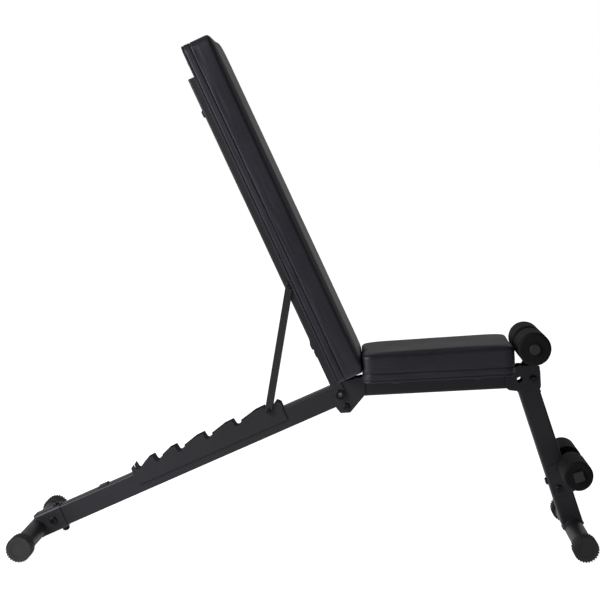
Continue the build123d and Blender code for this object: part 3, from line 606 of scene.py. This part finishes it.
def moulded_plastic(start):
    place = start.node("TexCoord", out="Object")
    spark = start.node("TexNoise", {}, {"Vector": place, "Scale": 1300.0, "Detail": 2.0})
    cloud = start.node("TexNoise", {}, {"Vector": place, "Scale": 60.0, "Detail": 3.0})
    rubbed = edge_rub(start, PLASTIC_EDGE) * 0.5
    return {
        "Base Color": (rubbed + cloud * 0.3).held().between(PLASTIC_DARK, PLASTIC_PALE),
        "Roughness": cloud * 0.12 + 0.36,
        "Normal": start.node("Bump", {}, {"Height": spark, "Strength": 0.4, "Distance": SPARK_DEPTH}),
    }


plug_plastic = make_finish("moulded_plastic", moulded_plastic, Specular_IOR_Level=0.45)
paint(plug_plastic, "upper_tube_plugs", "lower_bar_plugs")

# ------------------------------------------------------------------ seat rail
# A flat rectangular tube runs from the centre plates to the front bracket, tipped up a little
# towards the rollers. Two flat straps lie across it and four screws go up through them.
paint(coated_steel, "seat_rail", "seat_straps")
paint(bolt_oxide, "seat_screws")
paint(plug_plastic, "seat_rail_plug")

# ------------------------------------------------------------------ pivot
# The backrest swings on a short tube with turned flanges and a washer at each side. It is dark
# plated bar, with fine turning rings, polished by use.
PLATED = (0.020, 0.020, 0.022, 1)
PLATED_BRIGHT = (0.11, 0.11, 0.115, 1)
PLATED_EDGE = 0.0010
RING_DEPTH = 0.00004


def turned_bar(start):
    place = start.node("TexCoord", out="Object")
    flattened = start.node("VectorMath", {"operation": "MULTIPLY"}, {0: place, 1: (0.05, 1.0, 0.05)})
    rings = start.node("TexNoise", {}, {"Vector": flattened, "Scale": 1400.0, "Detail": 2.0})
    film = start.node("TexNoise", {}, {"Vector": place, "Scale": 120.0, "Detail": 3.0})
    worn = (edge_rub(start, PLATED_EDGE) * 0.6 + (film * 2.0 - 1.1).held() * 0.5).held()
    return {
        "Base Color": worn.between(PLATED, PLATED_BRIGHT),
        "Roughness": film * 0.16 + 0.24,
        "Normal": start.node("Bump", {}, {"Height": rings, "Strength": 0.35, "Distance": RING_DEPTH}),
    }


pin_plating = make_finish("dark_plated_bar", turned_bar, Metallic=1.0)
paint(pin_plating, "pivot_tube", "pivot_washers")

# ------------------------------------------------------------------ backrest rail
# A flat rectangular tube lies behind the cushion. Two ears, welded on its lower end, swing on the
# pivot tube. Two long bolts go through it into the board, and plugs close its ends.
BACK_ANGLE = radians(65.3)
EAR_END = 0.1505
EAR_SIDE = 0.0312
EAR_STITCHES = (0.104, 0.128)
EAR_STITCH = 0.016
EAR_END_HALF = 0.010
EAR_BEAD = 0.0017
HALF_RAIL_DEPTH = 0.0125
up_back = Vector((-cos(BACK_ANGLE), 0, sin(BACK_ANGLE)))
front_of_back = Vector((sin(BACK_ANGLE), 0, cos(BACK_ANGLE)))
ear_end = pivot + up_back * EAR_END
rail_back = front_of_back * -(HALF_RAIL_DEPTH + 0.0003)
weld_beads(
    "ear_welds",
    "backrest",
    [
        [
            across_bench(ear_end + front_of_back * n, side * EAR_SIDE)
            for n in (-EAR_END_HALF, EAR_END_HALF)
        ]
        for side in (-1, 1)
    ]
    + [
        [
            across_bench(pivot + up_back * (s + d) + rail_back, side * EAR_SIDE)
            for d in (0, EAR_STITCH)
        ]
        for side in (-1, 1)
        for s in EAR_STITCHES
    ],
    EAR_BEAD,
)
paint(coated_steel, "back_rail", "back_ear_right", "back_ear_left")
paint(bolt_oxide, "back_pad_bolts")
paint(plug_plastic, "back_rail_plugs")

# ------------------------------------------------------------------ strut
# Two flat bars hang from the backrest rail on one bolt and drop into the ladder. A short brace and
# the cross pin that sits in the teeth are welded through them, each with a thin ring of weld.
STRUT_SIDE = 0.0358
BRACE_RING = 0.0054
PIN_RING = 0.0063
STRUT_BEAD = 0.0011
brace = middle("strut_brace")
brace_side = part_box("strut_brace")[1].y - 0.0004
pin = middle("strut_pin")


def ring_round(centre, y, radius):
    """Points of a circle round a bar that lies across the bench."""
    turns = [tau * i / ARC_STEPS for i in range(ARC_STEPS + 1)]
    return [across_bench(centre, y) + Vector((cos(turn), 0, sin(turn))) * radius for turn in turns]


weld_beads(
    "strut_welds",
    "strut",
    [ring_round(brace, side * brace_side, BRACE_RING) for side in (-1, 1)]
    + [ring_round(pin, side * STRUT_SIDE, PIN_RING) for side in (-1, 1)],
    STRUT_BEAD,
)
paint(coated_steel, "strut_bar_right", "strut_bar_left", "strut_brace")
paint(pin_plating, "strut_pin")
paint(bolt_oxide, "strut_bolt", "strut_bolt_nut")

# ------------------------------------------------------------------ cushion boards
# Each cushion is built on a plywood board stained black, cut with round corners a little smaller
# than the cover. The screws of the straps and of the backrest rail go into it from behind.
STAIN_DARK = (0.010, 0.009, 0.008, 1)
STAIN_PALE = (0.030, 0.027, 0.024, 1)
WOOD_GRAIN = 0.0002


def plywood(start):
    place = start.node("TexCoord", out="Object")
    stretched = start.node("VectorMath", {"operation": "MULTIPLY"}, {0: place, 1: (1.0, 14.0, 1.0)})
    grain = start.node("TexNoise", {}, {"Vector": stretched, "Scale": 24.0, "Detail": 6.0})
    plies = start.node(
        "TexWave", {"bands_direction": "Z"}, {"Vector": place, "Scale": 120.0, "Distortion": 1.5}
    )
    return {
        "Base Color": (grain * 0.7 + plies * 0.3).between(STAIN_DARK, STAIN_PALE),
        "Roughness": grain * 0.15 + 0.62,
        "Normal": start.node("Bump", {}, {"Height": grain, "Strength": 0.4, "Distance": WOOD_GRAIN}),
    }


board_ply = make_finish("plywood", plywood, Specular_IOR_Level=0.3)
paint(board_ply, "seat_board", "back_board")

# ------------------------------------------------------------------ seat cushion
# The seat cushion is a firm foam block glued on its board, under a grained vinyl cover. The cover is
# drawn in along two fine grooves, gathers in small folds round the corners, and is turned under and
# stapled behind. The cushion is a little thicker towards the rollers.
VINYL_DARK = (0.0100, 0.0095, 0.0125, 1)
VINYL_PALE = (0.0175, 0.0165, 0.0205, 1)
VINYL_SCUFFED = (0.052, 0.050, 0.056, 1)
PEBBLE = 620.0
PEBBLE_DEPTH = 0.0001


def grained_vinyl(start):
    place = start.node("TexCoord", out="Object")
    pebble = start.node(
        "TexVoronoi", {"feature": "SMOOTH_F1"}, {"Vector": place, "Scale": PEBBLE, "Smoothness": 0.6}
    )
    fine = start.node("TexNoise", {}, {"Vector": place, "Scale": 1500.0, "Detail": 3.0})
    cloud = start.node("TexNoise", {}, {"Vector": place, "Scale": 11.0, "Detail": 4.0})
    flattened = start.node("VectorMath", {"operation": "MULTIPLY"}, {0: place, 1: (1.0, 1.0, 7.0)})
    streak = start.node("TexNoise", {}, {"Vector": flattened, "Scale": 38.0, "Detail": 5.0})
    scuff = ((streak * 3.2 - 1.95).held() * (fine * 1.4 - 0.2)).held()
    coat = (cloud * 1.3 - 0.15).held().between(VINYL_DARK, VINYL_PALE)
    relief = pebble * 0.8 + fine * 0.35
    return {
        "Base Color": (scuff * 0.5).between(coat, VINYL_SCUFFED),
        "Roughness": cloud * 0.12 + fine * 0.08 + 0.36,
        "Normal": start.node("Bump", {}, {"Height": relief, "Strength": 0.4, "Distance": PEBBLE_DEPTH}),
    }


cushion_vinyl = make_finish(
    "grained_vinyl", grained_vinyl, Specular_IOR_Level=0.40, Specular_Tint=COAT_TINT
)

WIRE_DARK = (0.045, 0.045, 0.047, 1)
WIRE_PALE = (0.10, 0.10, 0.105, 1)


def dark_wire(start):
    place = start.node("TexCoord", out="Object")
    film = start.node("TexNoise", {}, {"Vector": place, "Scale": 800.0, "Detail": 2.0})
    return {
        "Base Color": film.between(WIRE_DARK, WIRE_PALE),
        "Roughness": film * 0.2 + 0.35,
    }


staple_wire = make_finish("staple_wire", dark_wire, Metallic=1.0)

PAD_CORNER = 0.024
PAD_EDGE = 0.009
PAD_FOOT = 0.0014
EDGE_STEPS = 6
WALL_STEPS = 8
COVER_STEP = 0.005
TAPER_FROM = 0.026
HEM_GROOVE_AT = 0.0046
BOARD_GROOVE_AT = 0.0205
GROOVE_DEPTH = 0.0018
GROOVE_WIDTH = 0.0013


def outline(length, width, corner, step=0.004):
    """Points round a rectangle with round corners, with the way out of it at each point."""
    spots = []
    hx, hy = length / 2 - corner, width / 2 - corner
    for quarter, (sx, sy) in enumerate(((1, 1), (-1, 1), (-1, -1), (1, -1))):
        turns = max(6, int(corner * pi / 2 / step))
        for i in range(turns + 1):
            angle = pi / 2 * (quarter + i / turns)
            out = Vector((cos(angle), sin(angle), 0))
            spots.append((Vector((sx * hx, sy * hy, 0)) + out * corner, out))
        nx, ny = ((-1, 1), (-1, -1), (1, -1), (1, 1))[quarter]
        begin = spots[-1][0]
        end = Vector((nx * hx, ny * hy, 0)) + spots[-1][1] * corner
        count = max(2, int((end - begin).length / step))
        for i in range(1, count):
            spots.append((begin.lerp(end, i / count), spots[-1][1]))
    return spots


def cover_grid(length, width, corner, across, along):
    """Rows of points over a rectangle, with the points near its corners drawn in to round them."""
    hx, hy = length / 2 - corner, width / 2 - corner
    rows = []
    for j in range(along + 1):
        row = []
        for i in range(across + 1):
            x, y = length * (i / across - 0.5), width * (j / along - 0.5)
            a, b = max(0.0, abs(x) - hx), max(0.0, abs(y) - hy)
            if a > 0 and b > 0:
                share = max(a, b) / hypot(a, b)
                x += (a * share - a) * (1 if x > 0 else -1)
                y += (b * share - b) * (1 if y > 0 else -1)
            row.append(Vector((x, y, 0)))
        rows.append(row)
    return rows


def cover_levels(thickness):
    """Heights up the side of a cushion and how far in each is, close together at the grooves."""
    levels = [(0.0, PAD_FOOT), (PAD_FOOT, 0.0)]
    for groove in (HEM_GROOVE_AT, BOARD_GROOVE_AT):
        levels += [(groove + GROOVE_WIDTH * k * 0.65, 0.0) for k in range(-3, 4)]
    foot = levels[-1][0]
    wall = thickness - PAD_EDGE - foot
    levels += [(foot + wall * k / WALL_STEPS, 0.0) for k in range(1, WALL_STEPS)]
    bends = [pi / 2 * k / EDGE_STEPS for k in range(EDGE_STEPS + 1)]
    levels += [(thickness - PAD_EDGE * (1 - sin(t)), PAD_EDGE * (1 - cos(t))) for t in bends]
    return sorted(levels)


def bun(name, length, width, thickness, taper):
    """The closed block a cushion starts from: round in plan, with a rounded edge in front, and
    thinner by the taper at its lower or rear end."""
    across, along = round(length / COVER_STEP), round(width / COVER_STEP)
    brim = [(0, i) for i in range(across)] + [(j, across) for j in range(along)]
    brim += [(along, across - i) for i in range(across)] + [(along - j, 0) for j in range(along)]
    whole = [(j, i) for j in range(along + 1) for i in range(across + 1)]
    points, faces, rings, sheets = [], [], [], []
    levels = cover_levels(thickness)
    for number, (z, inset) in enumerate(levels):
        rows = cover_grid(length - 2 * inset, width - 2 * inset, PAD_CORNER - inset, across, along)
        closes = number in (0, len(levels) - 1)
        spots = whole if closes else brim
        index = {}
        for j, i in spots:
            index[(j, i)] = len(points)
            above_board = max(0.0, z - TAPER_FROM) / (thickness - TAPER_FROM)
            sunk = taper * above_board * (0.5 - rows[j][i].x / length)
            points.append(rows[j][i] + Vector((0, 0, z - sunk)))
        rings.append([index[spot] for spot in brim])
        if closes:
            sheets.append(index)
    for low, high in zip(rings, rings[1:]):
        for k in range(len(brim)):
            n = (k + 1) % len(brim)
            faces.append([low[k], low[n], high[n], high[k]])
    for index in sheets:
        for j in range(along):
            for i in range(across):
                corners = ((j, i), (j, i + 1), (j + 1, i + 1), (j + 1, i))
                faces.append([index[corner] for corner in corners])
    return make_piece(name, points, faces, cushion_vinyl)


def settled(piece):
    """The piece's mesh with its modifiers applied."""
    bpy.context.view_layer.update()
    done = bpy.data.meshes.new_from_object(piece.evaluated_get(bpy.context.evaluated_depsgraph_get()))
    piece.modifiers.clear()
    piece.data = done
    return piece


ON_BOARD = 0.004
SIM_FRAMES = 14
PRESSURE = 3.5
SWELL_ROOM = 0.0016
CROWN_CAP = 0.0042
SIDE_SHARE = 0.2


def swell(piece):
    """Blows the cover up from inside while its back stays on the board, then caps the movement."""
    rest = np.array([v.co for v in piece.data.vertices], float)
    held = piece.vertex_groups.new(name="on_board")
    held.add([i for i, p in enumerate(rest) if p[2] < ON_BOARD], 1.0, "REPLACE")
    cloth = piece.modifiers.new("cover", "CLOTH")
    cloth.settings.vertex_group_mass = held.name
    cloth.settings.quality = 5
    cloth.settings.mass = 0.35
    cloth.settings.tension_stiffness = 25
    cloth.settings.compression_stiffness = 25
    cloth.settings.shear_stiffness = 12
    cloth.settings.bending_stiffness = 12
    cloth.settings.use_pressure = True
    cloth.settings.uniform_pressure_force = PRESSURE
    cloth.settings.effector_weights.gravity = 0
    cloth.collision_settings.use_self_collision = False
    for number in range(1, SIM_FRAMES + 1):
        scene.frame_set(number)
    blown = piece.evaluated_get(bpy.context.evaluated_depsgraph_get())
    moved = np.array([v.co for v in blown.data.vertices], float) - rest
    piece.modifiers.clear()
    piece.vertex_groups.clear()
    scene.frame_set(1)
    moved[:, :2] *= SIDE_SHARE
    far = np.linalg.norm(moved, axis=1)
    moved *= (CROWN_CAP * np.tanh(far / CROWN_CAP) / np.maximum(far, 1e-9))[:, None]
    piece.data.vertices.foreach_set("co", (rest + moved).astype(np.float32).ravel())
    piece.data.update()


FOLD_HEIGHT = 0.016
FOLD_DEPTH = 0.0011
FOLDS = 26
CREASE_DEPTH = 0.0017
CREASE_AT = 0.38
CREASE_SPREAD = 0.3
WAIST = 0.0008


def pull_cover(piece, length, width, thickness, seed):
    """Draws in the seams behind, the folds at the corners and the faint creases of the sides."""
    hx, hy = length / 2 - PAD_CORNER, width / 2 - PAD_CORNER
    for v in piece.data.vertices:
        x, y, z = v.co
        cx, cy = max(-hx, min(hx, x)), max(-hy, min(hy, y))
        out = Vector((x - cx, y - cy, 0))
        reach = out.length
        if reach < PAD_CORNER * 0.55:
            continue
        out.normalize()
        side = min(1.0, max(0.0, (reach - PAD_CORNER * 0.55) / (PAD_CORNER * 0.3)))
        up = z / thickness
        at_corner = min(abs(out.x), abs(out.y)) * 1.4142
        groove = exp(-(((z - BOARD_GROOVE_AT) / GROOVE_WIDTH) ** 2))
        groove += 0.8 * exp(-(((z - HEM_GROOVE_AT) / GROOVE_WIDTH) ** 2))
        turn = Vector((out.x, out.y)).angle_signed(Vector((1, 0)), 0.0) if at_corner > 0.02 else 0.0
        low_down = exp(-((z / FOLD_HEIGHT) ** 2))
        gather = at_corner * low_down * FOLD_DEPTH * sin(turn * FOLDS + seed)
        along = x * out.y - y * out.x
        crease = max(0.0, noise.noise(Vector((along * 16 + seed, z * 210, seed * 3.1))))
        crease *= (1 - up) * CREASE_DEPTH * exp(-(((up - CREASE_AT) / CREASE_SPREAD) ** 2))
        share = x / length if abs(out.y) > abs(out.x) else y / width
        waist = WAIST * sin(pi * min(1.0, up)) * (1 - at_corner) * cos(pi * share)
        v.co -= out * side * (groove * GROOVE_DEPTH + crease + waist - gather * 0.6)


def smoothed(piece):
    """One round of subdivision, applied."""
    step = piece.modifiers.new("smooth_cover", "SUBSURF")
    step.levels = 1
    step.render_levels = 1
    settled(piece)
    piece.data.polygons.foreach_set("use_smooth", [True] * len(piece.data.polygons))
    if not piece.data.materials:
        piece.data.materials.append(cushion_vinyl)


def local_frame(origin, along, above):
    """The matrix that carries a cushion from its own flat frame to its place on the bench."""
    sideways = above.cross(along)
    turn = Matrix((along, sideways, above)).transposed().to_4x4()
    return Matrix.Translation(origin) @ turn


PRESS_BEND = 0.0016


def pressed(piece, flat, way):
    """Flattens whatever of a cushion would pass a flat neighbour, with a soft bend at its edge."""
    for v in piece.data.vertices:
        v.co -= way * PRESS_BEND * log(1 + exp((v.co - flat).dot(way) / PRESS_BEND))


def make_cushion(name, node, body, size, place, seed, taper=0.0, flat=None, way=None):
    """Builds, swells and seams one cushion, puts it in place and has it stand for its solid."""
    length, width, thickness = size
    shy = SWELL_ROOM * 0.5
    cushion = bun(name, length - shy, width - shy, thickness - SWELL_ROOM, taper)
    swell(cushion)
    smoothed(cushion)
    pull_cover(cushion, length, width, thickness, seed)
    cushion.data.transform(place)
    if flat:
        pressed(cushion, flat, way)
    cushion.data.update()
    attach(cushion, body)
    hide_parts(node)


HEM_WIDTH = 0.024
HEM_THICK = 0.0009
HEM_CUT = 0.0016
HEM_PUCKER = 0.0006
STAPLE_PITCH = 0.036
STAPLE_CROWN = 0.010
STAPLE_WIRE = 0.0006


def make_hem(name, body, length, width, place, seed):
    """The cover's turned edge behind the board: a flat band that puckers round the corners."""
    spots = outline(length, width, PAD_CORNER, step=0.003)
    rows = [
        (0.0012, 0.0004),
        (0.004, -HEM_THICK),
        (0.010, -HEM_THICK * 1.1),
        (0.017, -HEM_THICK),
        (HEM_WIDTH, -HEM_THICK * 0.8),
        (HEM_WIDTH + 0.0004, 0.0004),
    ]
    points = []
    for inset, z in rows:
        for place_now, out in spots:
            at_corner = min(abs(out.x), abs(out.y)) * 1.4142
            wave = noise.noise(place_now * 60 + Vector((seed, 0, 0)))
            cut = wave * HEM_CUT if inset > HEM_WIDTH / 2 else 0.0
            pucker = at_corner * HEM_PUCKER * sin(place_now.x * 900 + place_now.y * 700)
            height = z + pucker if z < 0 else z
            points.append(place_now - out * (inset + cut) + Vector((0, 0, height)))
    n = len(spots)
    faces = [
        [a * n + i, a * n + (i + 1) % n, b * n + (i + 1) % n, b * n + i]
        for a, b in zip(range(len(rows)), [*range(1, len(rows)), 0])
        for i in range(n)
    ]
    hem = make_piece(name, points, faces, cushion_vinyl)
    hem.data.transform(place)
    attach(hem, body)


STAPLE_INSET = 0.015
STAPLE_SLANT = 0.35
STAPLE_LEG = 0.0006
STAPLE_SHOULDER = 0.0012
STAPLE_BACK = 0.00175


def make_staples(name, body, length, width, place):
    """Wire staples along the turned edge, each a low bridge of square wire."""
    inner = (length - 2 * STAPLE_INSET, width - 2 * STAPLE_INSET, PAD_CORNER - STAPLE_INSET)
    spots = outline(*inner, step=0.003)
    path = [
        (-0.5, STAPLE_LEG),
        (-0.5, -STAPLE_SHOULDER),
        (-0.42, -STAPLE_BACK),
        (0.42, -STAPLE_BACK),
        (0.5, -STAPLE_SHOULDER),
        (0.5, STAPLE_LEG),
    ]
    run = 0.0
    points, faces = [], []
    last = spots[-1][0]
    for spot, out in spots:
        run += (spot - last).length
        last = spot
        if run < STAPLE_PITCH:
            continue
        run = 0.0
        slant = STAPLE_SLANT * sin(spot.x * 300 + spot.y * 170)
        along = Vector((-out.y, out.x, 0)) + out * slant
        along.normalize()
        side = Vector((-along.y, along.x, 0))
        first = len(points)
        for share, z in path:
            core = spot + along * share * STAPLE_CROWN + Vector((0, 0, z))
            for a, b in ((-1, -1), (1, -1), (1, 1), (-1, 1)):
                upright = Vector((0, 0, 1)) if abs(share) < 0.45 else along * (-1 if share > 0 else 1)
                points.append(core + (side * a + upright * b) * STAPLE_WIRE / 2)
        for r in range(len(path) - 1):
            for k in range(4):
                a = first + r * 4
                faces.append([a + k, a + (k + 1) % 4, a + 4 + (k + 1) % 4, a + 4 + k])
        faces.append([first + k for k in range(4)])
        faces.append([len(points) - 1 - k for k in range(4)])
    staples = make_piece(name, points, faces, staple_wire, smooth=False)
    staples.data.transform(place)
    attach(staples, body)


SEAT_ANGLE = radians(2.92)
SEAT_LENGTH = 0.357
SEAT_WIDTH = 0.280
SEAT_THICK = 0.071
SEAT_TAPER = 0.005
PADS_TOUCH = 0.0006
SEAT_AXIS = Vector((0.143, 0, 0.370))
SEAT_PAD_FROM = -0.004
SEAT_PAD_LOW = 0.025
along_seat = Vector((cos(SEAT_ANGLE), 0, sin(SEAT_ANGLE)))
above_seat = Vector((-sin(SEAT_ANGLE), 0, cos(SEAT_ANGLE)))
seat_middle = SEAT_AXIS + along_seat * (SEAT_PAD_FROM + SEAT_LENGTH / 2) + above_seat * SEAT_PAD_LOW
seat_place = local_frame(seat_middle, along_seat, above_seat)
seat_rear = SEAT_AXIS + along_seat * (SEAT_PAD_FROM + PADS_TOUCH)
seat_size = (SEAT_LENGTH, SEAT_WIDTH, SEAT_THICK)
make_cushion("seat_cushion", "seat_pad", "frame", seat_size, seat_place, 1.7, SEAT_TAPER)
make_hem("seat_cushion_hem", "frame", SEAT_LENGTH, SEAT_WIDTH, seat_place, 4.0)
make_staples("seat_cushion_staples", "frame", SEAT_LENGTH, SEAT_WIDTH, seat_place)

# ------------------------------------------------------------------ backrest cushion
# The backrest cushion is the same build on a long board, bolted against the flat rail. It is longer
# than the seat, and its lower front edge is pressed flat where it meets the seat's rear.
BACK_LENGTH = 0.860
BACK_WIDTH = 0.280
BACK_THICK = 0.072
BACK_PAD_FROM = 0.035
back_middle = pivot + up_back * (BACK_PAD_FROM + BACK_LENGTH / 2) + front_of_back * HALF_RAIL_DEPTH
back_place = local_frame(back_middle, up_back, front_of_back)
back_size = (BACK_LENGTH, BACK_WIDTH, BACK_THICK)
make_cushion(
    "back_cushion", "back_pad", "backrest", back_size, back_place, 5.3, flat=seat_rear, way=along_seat
)
make_hem("back_cushion_hem", "backrest", BACK_LENGTH, BACK_WIDTH, back_place, 9.0)
make_staples("back_cushion_staples", "backrest", BACK_LENGTH, BACK_WIDTH, back_place)

# ------------------------------------------------------------------ foam rollers
# Leg rollers are sleeves of closed-cell foam with a thin skin, cut square and softened at the
# ends. The upper pair turns on a round tube, and the lower pair is pushed on a square bar.
FOAM_DARK = (0.0045, 0.0045, 0.0047, 1)
FOAM_PALE = (0.0105, 0.0105, 0.0108, 1)
FOAM_SIDES = 112
FOAM_ROUND = 0.0065
FOAM_SHY = 0.0002
FOAM_GRAIN = 0.00018
LUMP = 0.0003
DIMPLE = 0.00016
TUBE_BORE = 0.01108
BAR_BORE = 0.0108
END_STEPS = 7
RUN_STEPS = 26


def skinned_foam(start):
    place = start.node("TexCoord", out="Object")
    pores = start.node("TexVoronoi", {"feature": "F1"}, {"Vector": place, "Scale": 900.0})
    skin = start.node("TexNoise", {}, {"Vector": place, "Scale": 1700.0, "Detail": 4.0})
    cloud = start.node("TexNoise", {}, {"Vector": place, "Scale": 22.0, "Detail": 4.0})
    relief = pores * 0.7 + skin
    return {
        "Base Color": (cloud * 0.8 + skin * 0.3 - 0.05).held().between(FOAM_DARK, FOAM_PALE),
        "Roughness": cloud * 0.12 + skin * 0.1 + 0.58,
        "Normal": start.node("Bump", {}, {"Height": relief, "Strength": 0.55, "Distance": FOAM_GRAIN}),
    }


roller_foam = make_finish("skinned_foam", skinned_foam, Specular_IOR_Level=0.12)


def foam_profile(half_length, radius, bore):
    """Half-length and radius pairs from the bore at one end, over the outside, to the other end."""
    end = [(-half_length, bore), (-half_length, bore + 0.0008)]
    flat = radius - FOAM_ROUND
    end += [(-half_length + 0.0004 * sin(pi * k / 5), bore + (flat - bore) * k / 5) for k in range(1, 5)]
    bends = [pi / 2 * k / END_STEPS for k in range(END_STEPS + 1)]
    end += [(-half_length + FOAM_ROUND * (1 - cos(t)), flat + FOAM_ROUND * sin(t)) for t in bends]
    start_at = FOAM_ROUND - half_length
    run = -2 * start_at
    middle_run = [(start_at + run * k / RUN_STEPS, radius) for k in range(1, RUN_STEPS)]
    return end + middle_run + [(-y, r) for y, r in reversed(end)]


def make_roller(name, node, body, bore, seed):
    """One foam sleeve round its bar, slightly lumpy and dimpled, that stands for its solid."""
    low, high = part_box(node)
    centre = (low + high) / 2
    radius = (high.z - low.z) / 2 - FOAM_SHY
    path = foam_profile((high.y - low.y) / 2 - FOAM_SHY, radius, bore)
    points = []
    for y, r in path:
        for k in range(FOAM_SIDES):
            angle = tau * k / FOAM_SIDES
            way = Vector((cos(angle), 0, sin(angle)))
            lump = noise.noise(way * 2.2 + Vector((seed, y * 30, 0)))
            dimple = noise.noise(way * 9 + Vector((seed, y * 190, 4.0)))
            drop = (LUMP * (1 + lump) + DIMPLE * (1 + dimple)) * (r - bore) / (radius - bore)
            points.append(Vector((centre.x, centre.y + y, centre.z)) + way * (r - drop))
    rows = len(path)
    faces = [
        [a * FOAM_SIDES + k, a * FOAM_SIDES + n, b * FOAM_SIDES + n, b * FOAM_SIDES + k]
        for a, b in zip(range(rows), [*range(1, rows), 0])
        for k, n in zip(range(FOAM_SIDES), [*range(1, FOAM_SIDES), 0])
    ]
    roller = make_piece(name, points, faces, roller_foam)
    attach(roller, body)
    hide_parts(node)


make_roller("upper_roller_right_foam", "upper_foam_right", "upper_roller_right", TUBE_BORE, 1.0)
make_roller("upper_roller_left_foam", "upper_foam_left", "upper_roller_left", TUBE_BORE, 2.0)
make_roller("lower_roller_right_foam", "lower_foam_right", "frame", BAR_BORE, 3.0)
make_roller("lower_roller_left_foam", "lower_foam_left", "frame", BAR_BORE, 4.0)

# ------------------------------------------------------------------ the finished bench
# Every piece is in place.
bpy.context.view_layer.update()
